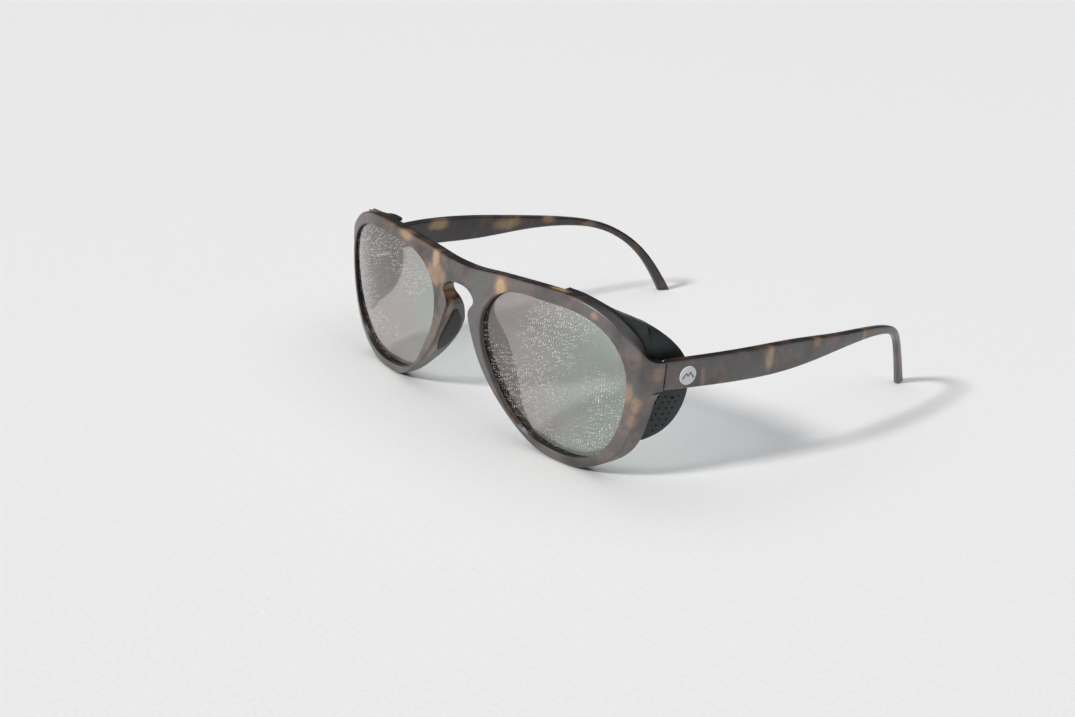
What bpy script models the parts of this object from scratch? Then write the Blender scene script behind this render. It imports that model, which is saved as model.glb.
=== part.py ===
"""Glacier glasses: a keyhole-bridge frame with folding temples and clip-on side shields.

The front faces -Y, the wearer's left is at +X, and Z is up. The glasses stand on the bottom of
the rims and on the tips of the temples. Lengths in this file are in millimetres and angles in
degrees; MM turns them into metres when a mesh is made. The left half is modelled, and the right
half is its mirror image across the plane x = 0.
"""
import math

import bmesh
import bpy
import numpy as np
from mathutils import Matrix, Vector

MM = 0.001
QUARTER_ROUND = 0.29         # inset of the middle of a quarter circle, as a share of its radius
GAP = 0.3                    # clearance between pieces that touch
SHARP_ANGLE = 35.0

# ---- frame front -------------------------------------------------------------------------
FACE_Y = -74.3               # front face of the bridge, at mid lens height
SWEEP = 6.7                  # how far the front face has swept back at x = SWEEP_X
SWEEP_X = 60.0
SWEEP_POWER = 4.4
LEAN = 0.063                 # the face leans forward towards the top
LEAN_OUT = 0.0005            # and leans more towards the temples, per mm of x
DISH = 0.00415               # vertical curvature of the face
BEND_X = 62.5                # the end piece starts to turn back here
BEND_RADIUS = 8.4
TURN_FROM = 58.5             # the section starts to turn with the end piece here
TURN_LOW = (27.4, 28.6)      # below this height it doesn't turn, and above it turns fully
FRONT_END_Y = -59.4          # nothing of the front reaches further back
END_PIECE_Z = 32.4           # middle height of the end piece
LENS_CENTRE = (36.6, 25.3)
# Radius of the lens opening every 22.5 degrees, from the temple side towards the top.
OPENING_RADII = (24.2, 25.2, 24.3, 21.7, 20.1, 21.3, 25.0, 27.2,
                 25.3, 22.5, 22.2, 22.2, 22.0, 23.4, 24.4, 23.9)
# Outer edge of the front: x along the face, z, and the angle round the lens that it faces.
TOP_EDGE = ((71.4, 36.3, 22), (68.6, 36.6, 23.5), (66, 37.6, 26), (63.4, 39.8, 31), (60.8, 41.9, 36),
            (58, 44, 42), (55.2, 45.9, 48.5), (52.2, 47.3, 55), (49.2, 48.2, 61), (46, 48.8, 68),
            (41, 49.1, 79.5), (36, 49, 91.5), (28.7, 48.5, 108.8), (20.8, 47.8, 124),
            (12.5, 46.9, 132.5), (6, 46.1, 137), (-2, 45.8, 140))
LOWER_EDGE = ((-2, 40, 144), (1.4, 40.05, 146), (3.3, 39.7, 148), (4.9, 39, 150.5), (6.1, 38, 153),
              (6.7, 36.9, 155.5), (6.5, 35.9, 158), (5.7, 34.9, 160.5), (5, 33.9, 163), (4.7, 32.5, 166),
              (5.1, 31, 169.5), (5.8, 29.2, 173), (7.2, 25.8, 179), (8.6, 22.8, 184.8), (10.5, 19.4, 192.8),
              (13, 15.9, 201.8), (16.1, 12.3, 212.6), (19.4, 9.1, 223.4), (23.4, 5.8, 236), (27.5, 3, 247.6),
              (31.5, 1.1, 258), (37, 0, 271), (42, 0, 282), (47, 0.8, 292.5), (51.7, 2.9, 303.5),
              (55.8, 5.8, 314), (58.9, 8.9, 323), (60.9, 12.2, 331.5), (62.3, 16.2, 340.5),
              (63.6, 20.5, 349.5), (64.6, 23.8, 356.5), (65.6, 26, 361.5), (67, 27.5, 365),
              (68.9, 28.3, 366.5), (71.4, 28.6, 367.5))
BRIDGE_END = ((-2, 43, 142),)
TEMPLE_END = ((71.4, 31.2, 372.4), (71.4, 33.8, 377.2))
# Section round the lens: angle, depth of the outer wall, how far its back edge moves outwards,
# depth of the inner crest, and how far the crest reaches in over the lens opening.
SECTIONS = ((7.5, 3.6, 0, 4.2, -0.4), (22, 3.6, 0, 4.2, -0.4), (40, 4.1, 0.2, 4.1, -0.4),
            (66, 3.7, 0, 3.7, -0.4), (110, 3.8, 0, 3.8, -0.4), (140, 3.8, 0, 3.8, -0.4),
            (146, 3.8, 0, 4, -0.3), (152, 4, -0.1, 4.4, -0.2), (160.5, 5.4, -0.5, 5.8, 0.2),
            (166, 7, -0.9, 7.3, 0.5), (173, 9.3, -1.4, 9.3, 0.6), (180, 11, -1.6, 10.6, 0.6),
            (188, 11.3, -1.6, 10.9, 0.6), (200, 10.6, -1.4, 10.3, 0.6), (213, 9.3, -1, 9, 0.5),
            (228, 7.2, -0.5, 7.1, 0.2), (244, 5.3, 0, 5.3, -0.3), (262, 4.6, 0, 4.6, -0.4),
            (300, 4.6, 0, 4.6, -0.4), (325, 4.6, 0.4, 4.6, -0.4), (340, 5.2, 0.4, 4.6, -0.4),
            (352, 5.5, 0.3, 4.6, -0.4), (360, 5.2, 0.2, 4.5, -0.4), (364.5, 4.6, 0.1, 4.5, -0.4))
# Roundings of the section, as pairs: in from the wall, and behind the face or before the back.
FRONT_ROUND = ((0.45, 0), (0.12, 0.14), (0, 0.5))
BACK_ROUND = ((0, 0.6), (0.2, 0.15), (0.7, 0))
INNER_ROUND = (0.35, 0.45)
CREST_ROUND = (0.35, 0.3)

# ---- lenses ------------------------------------------------------------------------------
LENS_RECESS = 1.5            # front of the lens behind the front of the rim, at the lens centre
LENS_THICKNESS = 1.6
LENS_INSERT = 0.75           # how far the lens edge goes into its groove
GROOVE_DEPTH = LENS_INSERT + GAP
GROOVE_PLAY = 0.25
GROOVE_LIP = 0.35
LENS_SLOPE = (-0.012, -0.02)         # the lens lies nearer the face towards the temple and the top
LENS_STEPS = 48
LENS_RINGS = (0.2, 0.45, 0.7, 0.9, 1.0)

# ---- temples and hinges ------------------------------------------------------------------
HINGE_AXIS = (63.6, -59.3)
HINGE_BOTTOM = 29.7
KNUCKLE_HEIGHT = 1.6
KNUCKLE_RADIUS = 1.4
SCREW_RADIUS = 0.55
SCREW_HEAD_RADIUS = 1.0
SCREW_HEAD_HEIGHT = 0.5
SCREW_PLAY = 0.25
SCREW_PROUD = 0.2            # the shank reaches this far out of the barrel's top
LEAF_THICKNESS = 1.2
LEAF_IN = 0.5                # the leaves reach this far in from the hinge axis
RELIEF = 1.2                 # room above and below the barrel
LEAF_INSET = 0.1             # the leaves are this much shorter than the barrel at each end
FRONT_LEAF_LENGTH = 3.2
TEMPLE_LEAF_LENGTH = 7.0
TEMPLE_SPLAY = 11.0          # the temple leaves the hinge turned this far outwards
# Centre line of the left temple, with the strip's height and thickness.
TEMPLE_LINE = ((65.25, -59.2, 32.4, 7.6, 3.1), (67.3, -48.7, 32.2, 7.9, 3.1), (69.6, -34, 31.9, 8.3, 3),
               (69.9, -10.5, 30.9, 7.8, 2.9), (69.1, 8.7, 30.3, 5.1, 2.6), (66.5, 31.5, 28.8, 2.9, 2.3),
               (63.5, 46, 25.6, 2.5, 2.1), (58.7, 58.6, 17.8, 2.9, 2), (54.1, 71.95, 0, 4.4, 1.9))
TEMPLE_CORNER = 0.5
TEMPLE_RINGS = 30
DISC_Y = -52.1
DISC_Z = 32.0
DISC_RADIUS = 2.6
DISC_THICKNESS = 0.5
DISC_PROUD = 0.15

# ---- nose pads ---------------------------------------------------------------------------
PAD_ANGLES = (172.0, 207.0)  # the pad runs along the nose bump between these angles
PAD_MIDDLE = 0.57            # as a share of the bump's depth
PAD_HALF_WIDTH = 0.38
PAD_SUNK = 0.8
PAD_PROUD = 0.3
PAD_ROWS = 13
PAD_COLUMNS = 5
PAD_BACK = (0.5, 1.1)        # the pad keeps this far from the front, and from front and back together
PAD_TAPER = (0.12, 0.76, 0.7)
BUMP_MM_PER_DEGREE = 0.45    # for turning a clearance in millimetres into shares of the bump
BUMP_DEPTH = 9.0

# ---- side shields ------------------------------------------------------------------------
RAIL_THICKNESS = 1.1
RAIL_GAP = 0.45              # the rail lies this far behind the rim, whose back is uneven
RAIL_STEP = 0.4              # and steps further back where the end piece starts to turn
RAIL_STEP_X = 59.5
RAIL_INNER = 0.6             # its inner edge lies this far outside the lens opening
RAIL_OVER_LENS = 1.1         # but reaches in over the opening on the temple side
RAIL_BEVEL = (0.9, 0.3)
RAIL_RINGS = 30
CREASE = (61.8, -59.8, 29.0)         # a point on the fold line between the rail and the wing
CREASE_LEAN = 0.072                  # the fold line leans forward towards the top
RAIL_EDGE = ((37.2, 48.8, 89), (41.3, 48.9, 79), (46, 48.5, 68), (50, 47.9, 59), (54, 47, 51),
             (58, 45.9, 44), (61.3, 44.6, 38), (61.5, 41, 33), (61.5, 37, 27), (61.5, 32, 17),
             (61.5, 26, 2), (61.5, 21, -9), (61.3, 17, -17.5), (60.4, 12.9, -28))
# Outline of the wing: how far it reaches back from the crease, and z.
WING_EDGE = ((1.6, 12.8), (5.1, 14), (8.7, 17.3), (11.6, 21.5), (13.3, 26), (13.4, 30.5),
             (12, 35), (9.1, 39.2), (5.1, 42.8), (1.6, 44.7))
WING_ROOT = (13.3, 44.2)     # bottom and top of the wing at the crease
WING_ROWS = 17
WING_COLUMNS = 7
WING_THICKNESS = 0.9
WING_BULGE = 1.0             # the wing swells outwards by this much
WING_BULGE_LENGTH = 4.0
WING_NOTCH = (8.3, 28.2, 37.3)       # depth, bottom and top of the cut-out for the hinge
WING_TRIM = 0.9              # below the cut-out it starts this far back, clear of the rim
MAGNET_ANGLES = (66.0, 37.0)
MAGNET_INSETS = (1.7, 1.9)   # distance of each magnet from the outer edge of the rim
MAGNET_RADIUS = 0.9
MAGNET_THICKNESS = 0.7
MAGNET_SUNK = 0.02
POCKET_FLOOR = 0.25          # room behind the magnet in its pocket
POCKET_MOUTH = 0.6           # how far the pocket's cutter reaches out of the face

# ---- finishes: base colour, roughness, metallic ------------------------------------------
TORTOISE = ((0.055, 0.04, 0.03), 0.5, 0.0)
GREEN_LENS = ((0.2, 0.24, 0.22), 0.1, 0.0)
BLACK_RUBBER = ((0.02, 0.022, 0.024), 0.7, 0.0)
BLACK_SHIELD = ((0.012, 0.02, 0.022), 0.55, 0.0)
STEEL = ((0.55, 0.55, 0.56), 0.3, 1.0)
WHITE = ((0.85, 0.85, 0.86), 0.45, 0.0)


# ---- curves ------------------------------------------------------------------------------
def cubic(points, chord_columns):
    """A natural cubic spline through points, as a function of 0 to 1 along its chord."""
    rows = np.array(points, float)
    steps = np.linalg.norm(np.diff(rows[:, :chord_columns], axis=0), axis=1)
    knots = np.concatenate([[0], np.cumsum(steps)]) / steps.sum()
    return spline_through(knots, rows)


def spline_through(knots, rows):
    """A natural cubic spline through rows at the given knots."""
    count = len(knots)
    gaps = np.diff(knots)
    matrix = np.eye(count)
    right = np.zeros_like(rows)
    for i in range(1, count - 1):
        matrix[i, i - 1:i + 2] = gaps[i - 1], 2 * (gaps[i - 1] + gaps[i]), gaps[i]
        right[i] = 6 * ((rows[i + 1] - rows[i]) / gaps[i] - (rows[i] - rows[i - 1]) / gaps[i - 1])
    bend = np.linalg.solve(matrix, right)

    def at(where):
        where = np.atleast_1d(where)
        i = np.clip(np.searchsorted(knots, where, side="right") - 1, 0, count - 2)
        a = ((knots[i + 1] - where) / gaps[i])[:, None]
        b = 1 - a
        curve = ((a ** 3 - a) * bend[i] + (b ** 3 - b) * bend[i + 1]) * (gaps[i] ** 2)[:, None] / 6
        return a * rows[i] + b * rows[i + 1] + curve
    return at


def smoothstep(value):
    value = np.clip(value, 0, 1)
    return value * value * (3 - 2 * value)


# ---- the surface that the front is laid out on -------------------------------------------
def face_y(x, z):
    """Front face of the frame, without the end piece's bend."""
    low = z - LENS_CENTRE[1]
    sweep = SWEEP * (abs(x) / SWEEP_X) ** SWEEP_POWER
    return FACE_Y + sweep - (LEAN + LEAN_OUT * abs(x)) * low + DISH * low * low


def place(along, z, depth):
    """A point of the front: along its face from the middle, at height z, depth behind the face."""
    slope = math.atan(SWEEP * SWEEP_POWER / SWEEP_X * (BEND_X / SWEEP_X) ** (SWEEP_POWER - 1))
    x = min(along, BEND_X)
    y = face_y(x, z)
    bend_length = BEND_RADIUS * (math.pi / 2 - slope)
    if along > BEND_X:
        share = (along - BEND_X) / bend_length
        heading = slope + min(share, 1) * (math.pi / 2 - slope)
        y = y + (face_y(x, END_PIECE_Z) - y) * smoothstep(share)
        x += BEND_RADIUS * (math.sin(heading) - math.sin(slope))
        y += BEND_RADIUS * (math.cos(slope) - math.cos(heading))
    turn = math.pi / 2 * smoothstep((along - TURN_FROM) / (BEND_X + bend_length - TURN_FROM))
    turn *= smoothstep((z - TURN_LOW[0]) / (TURN_LOW[1] - TURN_LOW[0]))
    back = min(depth * math.cos(turn), max(FRONT_END_Y - y, 0))
    return Vector((x - depth * math.sin(turn), y + back, z))


def opening(angle, grow=0.0):
    """A point on the edge of the lens opening, grown outwards by grow."""
    count = len(OPENING_RADII)
    knots = np.arange(-3, count + 4) * 360 / count
    radii = np.array([[OPENING_RADII[i % count]] for i in range(-3, count + 4)])
    radius = spline_through(knots, radii)(angle % 360)[0, 0] + grow
    turn = math.radians(angle)
    return LENS_CENTRE[0] + radius * math.cos(turn), LENS_CENTRE[1] + radius * math.sin(turn)


def lens_depth(x, z):
    """Depth of the front of the lens behind the face: less at the top, more towards the nose."""
    return LENS_RECESS + LENS_SLOPE[0] * (x - LENS_CENTRE[0]) + LENS_SLOPE[1] * (z - LENS_CENTRE[1])


def section_at(angle):
    table = np.array(SECTIONS + tuple((row[0] + 360,) + row[1:] for row in SECTIONS))
    return [float(np.interp((angle - 7.5) % 360 + 7.5, table[:, 0], table[:, k])) for k in range(1, 5)]


def outer_edge(points_per_span):
    """Stations of the outer edge, all the way round: along, z, angle."""
    stations = np.vstack([resampled(TOP_EDGE, points_per_span), BRIDGE_END,
                          resampled(LOWER_EDGE, points_per_span), TEMPLE_END])
    stations[:, 1] = np.maximum(stations[:, 1], 0)
    return stations


def resampled(points, points_per_span):
    """A spline through points, read at every point and evenly between them."""
    rows = np.array(points, float)
    steps = np.linalg.norm(np.diff(rows[:, :2], axis=0), axis=1)
    knots = np.concatenate([[0], np.cumsum(steps)]) / steps.sum()
    spans = len(rows) - 1
    where = np.interp(np.linspace(0, spans, spans * points_per_span + 1), range(spans + 1), knots)
    return spline_through(knots, rows)(where)


def rim_section(station, across):
    """Section of the rim as a ring of points: front face, outer wall, back, then the lens groove."""
    along, z, angle = station
    outer_depth, flare, crest_depth, crest_in = section_at(angle)
    length = math.dist(opening(angle), (along, z))
    shares = np.linspace(0, 1, across + 2)
    inner, outer = INNER_ROUND[0], length - FRONT_ROUND[0][0]
    ring = [opening_point(angle, 0, INNER_ROUND[1])]
    ring += [station_point(station, inner + (outer - inner) * share, 0) for share in shares]
    ring += [station_point(station, length - inwards, depth) for inwards, depth in FRONT_ROUND[1:]]
    back = [station_point(station, length + flare - inwards, outer_depth - before)
            for inwards, before in BACK_ROUND]
    crest = opening_point(angle, CREST_ROUND[0] - crest_in, crest_depth)
    ring += back[:-1]
    ring += [back[-1].lerp(crest, share) for share in shares]
    ring.append(opening_point(angle, -crest_in, crest_depth - CREST_ROUND[1]))
    for outwards, behind in ((0, GROOVE_LIP), (0, 0), (GROOVE_DEPTH, 0)):
        ring.append(groove_point(angle, outwards, LENS_THICKNESS + GROOVE_PLAY + behind))
    for outwards in (GROOVE_DEPTH, 0):
        ring.append(groove_point(angle, outwards, -GROOVE_PLAY))
    return ring


def opening_point(angle, outwards, depth):
    """A point at a distance outwards from the lens opening and a depth behind the face."""
    x, z = opening(angle, outwards)
    return Vector((x, face_y(x, z) + depth, z))


def groove_point(angle, outwards, behind):
    """A point at a distance outwards from the lens opening and behind the front of the lens."""
    x, z = opening(angle, outwards)
    return Vector((x, face_y(x, z) + lens_depth(x, z) + behind, z))


def station_point(station, outwards, depth):
    """A point at a distance outwards from the opening, on the line to the station's outer edge."""
    along, z, angle = station
    inner = np.array(opening(angle))
    outer = np.array((along, z))
    spot = inner + (outer - inner) / np.linalg.norm(outer - inner) * outwards
    return place(spot[0], spot[1], depth)


# ---- mesh helpers ------------------------------------------------------------------------
def make_object(name, points, faces, collection):
    """An object from points in millimetres, with its faces turned outwards."""
    mesh = bpy.data.meshes.new(name)
    mesh.from_pydata([Vector(point) * MM for point in points], [], faces)
    body = bmesh.new()
    body.from_mesh(mesh)
    bmesh.ops.recalc_face_normals(body, faces=body.faces)
    body.to_mesh(mesh)
    body.free()
    thing = bpy.data.objects.new(name, mesh)
    collection.objects.link(thing)
    return thing


def ring_faces(ring_count, ring_size, close_rings):
    """Quads between rings of points that each close on themselves."""
    faces = []
    for i in range(ring_count if close_rings else ring_count - 1):
        for j in range(ring_size):
            a = i * ring_size + j
            b = i * ring_size + (j + 1) % ring_size
            c = ((i + 1) % ring_count) * ring_size + (j + 1) % ring_size
            d = ((i + 1) % ring_count) * ring_size + j
            faces.append((a, b, c, d))
    return faces


def loft(name, rings, collection, close_rings=False):
    """A solid through rings of points, capped at both ends unless the rings close."""
    size = len(rings[0])
    faces = ring_faces(len(rings), size, close_rings)
    if not close_rings:
        faces.append(tuple(range(size)))
        faces.append(tuple(range((len(rings) - 1) * size, len(rings) * size)))
    return make_object(name, [point for ring in rings for point in ring], faces, collection)


def primitive(name, collection, matrix, build, **sizes):
    """A closed primitive made by a bmesh operator, sizes in millimetres."""
    body = bmesh.new()
    build(body, **sizes)
    bmesh.ops.scale(body, vec=(MM, MM, MM), verts=body.verts)
    mesh = bpy.data.meshes.new(name)
    body.to_mesh(mesh)
    body.free()
    thing = bpy.data.objects.new(name, mesh)
    place_matrix = matrix.copy()
    place_matrix.translation = matrix.translation * MM
    mesh.transform(place_matrix)
    collection.objects.link(thing)
    return thing


def cylinder(name, collection, matrix, radius, height, segments=20):
    return primitive(name, collection, matrix, bmesh.ops.create_cone, cap_ends=True, segments=segments,
                     radius1=radius, radius2=radius, depth=height)


def box(name, collection, low, high, turn=0.0, pivot=(0, 0)):
    """A box between two corners, turned about the vertical line through pivot."""
    low, high = Vector(low), Vector(high)
    size = Matrix.Diagonal((*(high - low), 1))
    shift = Matrix.Translation((low + high) / 2)
    around = Matrix.Translation((pivot[0], pivot[1], 0))
    matrix = around @ Matrix.Rotation(math.radians(turn), 4, "Z") @ around.inverted() @ shift @ size
    return primitive(name, collection, matrix, bmesh.ops.create_cube, size=1.0)


def combine(thing, other, operation):
    """Cut other from thing, or join it on, with a Boolean that stays on the object."""
    other.hide_render = True
    other.display_type = "WIRE"
    modifier = thing.modifiers.new(other.name, "BOOLEAN")
    modifier.operation = operation
    modifier.object = other
    modifier.solver = "EXACT"


def mirrored(thing, name, collection):
    """The right-hand twin of a left-hand piece."""
    evaluated = thing.evaluated_get(bpy.context.evaluated_depsgraph_get())
    mesh = bpy.data.meshes.new_from_object(evaluated)
    mesh.transform(thing.matrix_world)
    mesh.transform(Matrix.Diagonal((-1, 1, 1, 1)))
    mesh.flip_normals()
    mesh.name = name
    twin = bpy.data.objects.new(name, mesh)
    collection.objects.link(twin)
    return twin


def finish(thing, look):
    """Give a piece its own material and smooth shading."""
    colour, roughness, metallic = look
    material = bpy.data.materials.new(thing.name)
    material.use_nodes = True
    shader = material.node_tree.nodes["Principled BSDF"]
    shader.inputs["Base Color"].default_value = (*colour, 1)
    shader.inputs["Roughness"].default_value = roughness
    shader.inputs["Metallic"].default_value = metallic
    thing.data.materials.clear()
    thing.data.materials.append(material)
    thing.data.shade_smooth()
    thing.data.set_sharp_from_angle(angle=math.radians(SHARP_ANGLE))


# ---- frame front -------------------------------------------------------------------------
def make_front(parts, cutters):
    """The left half of the front, swept round the lens, cut for its fittings and mirrored."""
    rings = []
    for station in outer_edge(points_per_span=1):
        rings.append(rim_section(station, across=3))
    front = loft("frame_front", rings, parts, close_rings=True)

    x, y = HINGE_AXIS
    top = HINGE_BOTTOM + hinge_height()
    cut = box("hinge_pocket_front", cutters,
              (x - LEAF_IN - GAP, y - FRONT_LEAF_LENGTH - GAP, HINGE_BOTTOM - GAP),
              (x - LEAF_IN + LEAF_THICKNESS + GAP, y + 1, top + GAP))
    combine(front, cut, "DIFFERENCE")
    middle = Matrix.Translation((x, y, (HINGE_BOTTOM + top) / 2))
    cut = cylinder("hinge_relief_front", cutters, middle, KNUCKLE_RADIUS + GAP, hinge_height() + 2 * RELIEF)
    combine(front, cut, "DIFFERENCE")
    cut = pad_solid("pad_recess", cutters, grow=GAP, sunk=PAD_SUNK + GAP, proud=2.0)
    combine(front, cut, "DIFFERENCE")
    for number in range(len(MAGNET_ANGLES)):
        spot, axis = magnet_seat(number)
        cut = magnet(f"magnet_pocket_front_{number + 1}", cutters, spot, axis, GAP)
        combine(front, cut, "DIFFERENCE")

    mirror = front.modifiers.new("mirror", "MIRROR")
    mirror.use_axis = (True, False, False)
    mirror.use_bisect_axis = (True, False, False)
    mirror.merge_threshold = 0.0001
    return front


# ---- lenses ------------------------------------------------------------------------------
def make_lens(parts):
    """A lens whose two faces follow the front face, in rings that shrink towards its centre."""
    steps = LENS_STEPS
    angles = np.arange(steps) * 360 / steps
    points = []
    for side in (0, LENS_THICKNESS):
        for share in LENS_RINGS:
            for angle in angles:
                x, z = opening(angle, LENS_INSERT)
                x = LENS_CENTRE[0] + share * (x - LENS_CENTRE[0])
                z = LENS_CENTRE[1] + share * (z - LENS_CENTRE[1])
                points.append((x, face_y(x, z) + lens_depth(x, z) + side, z))
    rings = len(LENS_RINGS)
    faces = [tuple(range(steps)), tuple(range(rings * steps, (rings + 1) * steps))]
    for first in (0, rings * steps):
        faces += [tuple(first + index for index in face) for face in ring_faces(rings, steps, False)]
    rim, back_rim = (rings - 1) * steps, (2 * rings - 1) * steps
    faces += [(rim + i, rim + (i + 1) % steps, back_rim + (i + 1) % steps, back_rim + i) for i in range(steps)]
    return make_object("lens_left", points, faces, parts)


# ---- nose pads ---------------------------------------------------------------------------
def bump_point(angle, share, lift):
    """A point on the nose side of the bump: share is 0 at the front of its wall and 1 at the back."""
    edge = np.array(LOWER_EDGE)
    along, z = (float(np.interp(angle, edge[:, 2], edge[:, k])) for k in (0, 1))
    outer_depth, flare = section_at(angle)[:2]
    length = math.dist(opening(angle), (along, z))
    depth = PAD_BACK[0] + share * (outer_depth - PAD_BACK[1])
    return station_point((along, z, angle), length + flare * share + lift, depth)


def pad_solid(name, collection, grow, sunk, proud):
    """A leaf-shaped block that follows the nose bump, grown all round by grow."""
    first, last = PAD_ANGLES
    grow_angle = grow / BUMP_MM_PER_DEGREE
    grow_share = grow / BUMP_DEPTH
    rows, columns = PAD_ROWS, PAD_COLUMNS
    tip, spread, power = PAD_TAPER
    layers = []
    for lift in (-sunk, proud):
        for i in range(rows):
            t = i / (rows - 1)
            width = PAD_HALF_WIDTH * math.sin(math.pi * (tip + spread * t)) ** power + grow_share
            angle = first - grow_angle + t * (last - first + 2 * grow_angle)
            for j in range(columns):
                share = PAD_MIDDLE + width * (2 * j / (columns - 1) - 1)
                layers.append(bump_point(angle, share, lift))
    layer = rows * columns
    faces = []
    for first_index in (0, layer):
        for i in range(rows - 1):
            for j in range(columns - 1):
                a = first_index + i * columns + j
                faces.append((a, a + 1, a + columns + 1, a + columns))
    border = [j for j in range(columns)]
    border += [i * columns + columns - 1 for i in range(1, rows)]
    border += [(rows - 1) * columns + j for j in range(columns - 2, -1, -1)]
    border += [i * columns for i in range(rows - 2, 0, -1)]
    for a, b in zip(border, border[1:] + border[:1]):
        faces.append((a, b, b + layer, a + layer))
    return make_object(name, layers, faces, collection)


# ---- temples -----------------------------------------------------------------------------
def temple_line():
    return cubic(TEMPLE_LINE, 3)


def temple_rings(count):
    """Rounded rectangles along the temple; the ends are cut flat at the hinge and at the floor."""
    line = temple_line()
    shares = np.linspace(0, 1, count)
    rows = line(shares)
    tangents = line(np.clip(shares + 0.001, 0, 1)) - line(np.clip(shares - 0.001, 0, 1))
    rings = []
    for i, (row, tangent) in enumerate(zip(rows, tangents)):
        forward = Vector(tangent[:3]).normalized()
        side = forward.cross(Vector((0, 0, 1))).normalized()
        up = side.cross(forward)
        half_height, half_width = row[3] / 2, row[4] / 2
        ring = []
        for sx, sz in ((1, 1), (-1, 1), (-1, -1), (1, -1)):
            corner = [(TEMPLE_CORNER, 0), (QUARTER_ROUND * TEMPLE_CORNER,) * 2, (0, TEMPLE_CORNER)]
            if sx * sz < 0:
                corner.reverse()
            for inset_x, inset_z in corner[::-1]:
                offset = side * sx * (half_width - inset_x) + up * sz * (half_height - inset_z)
                ring.append(Vector(row[:3]) + offset)
        if i == 0:
            ring = [point + forward * ((TEMPLE_LINE[0][1] - point.y) / forward.y) for point in ring]
        if i == count - 1:
            ring = [point + forward * (-point.z / forward.z) for point in ring]
        rings.append(ring)
    return rings


def make_temple(parts, cutters):
    temple = loft("temple_left", temple_rings(TEMPLE_RINGS), parts)
    x, y = HINGE_AXIS
    top = HINGE_BOTTOM + hinge_height()
    cut = box("hinge_pocket_temple", cutters, (x - 3, y - 1, HINGE_BOTTOM - GAP),
              (x - LEAF_IN + LEAF_THICKNESS + GAP, y + TEMPLE_LEAF_LENGTH + GAP, top + GAP),
              -TEMPLE_SPLAY, (x, y))
    combine(temple, cut, "DIFFERENCE")
    middle = Matrix.Translation((x, y, (HINGE_BOTTOM + top) / 2))
    height = hinge_height() + 2 * RELIEF
    cut = cylinder("hinge_relief_temple", cutters, middle, KNUCKLE_RADIUS + GAP, height)
    combine(temple, cut, "DIFFERENCE")
    cut = cylinder("disc_recess", cutters, disc_matrix(0), DISC_RADIUS + GAP,
                   2 * (DISC_THICKNESS - DISC_PROUD + GAP), 40)
    combine(temple, cut, "DIFFERENCE")
    return temple


def disc_matrix(outwards):
    """The middle of the disc's place on the outer face of the temple, +Z pointing out of it."""
    line = temple_line()
    shares = np.linspace(0, 0.5, 400)
    rows = line(shares)
    i = int(np.argmin(abs(rows[:, 1] - DISC_Y)))
    forward = Vector(rows[i + 1, :3] - rows[i - 1, :3]).normalized()
    side = forward.cross(Vector((0, 0, 1))).normalized()
    spot = Vector((*rows[i, :2], DISC_Z)) + side * (rows[i, 4] / 2 + outwards)
    return Matrix.Translation(spot) @ side.to_track_quat("Z", "Y").to_matrix().to_4x4()


# ---- hinges ------------------------------------------------------------------------------
def hinge_height():
    return 3 * KNUCKLE_HEIGHT + 2 * GAP


def knuckle_middle(number):
    return HINGE_BOTTOM + KNUCKLE_HEIGHT / 2 + number * (KNUCKLE_HEIGHT + GAP)


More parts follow.
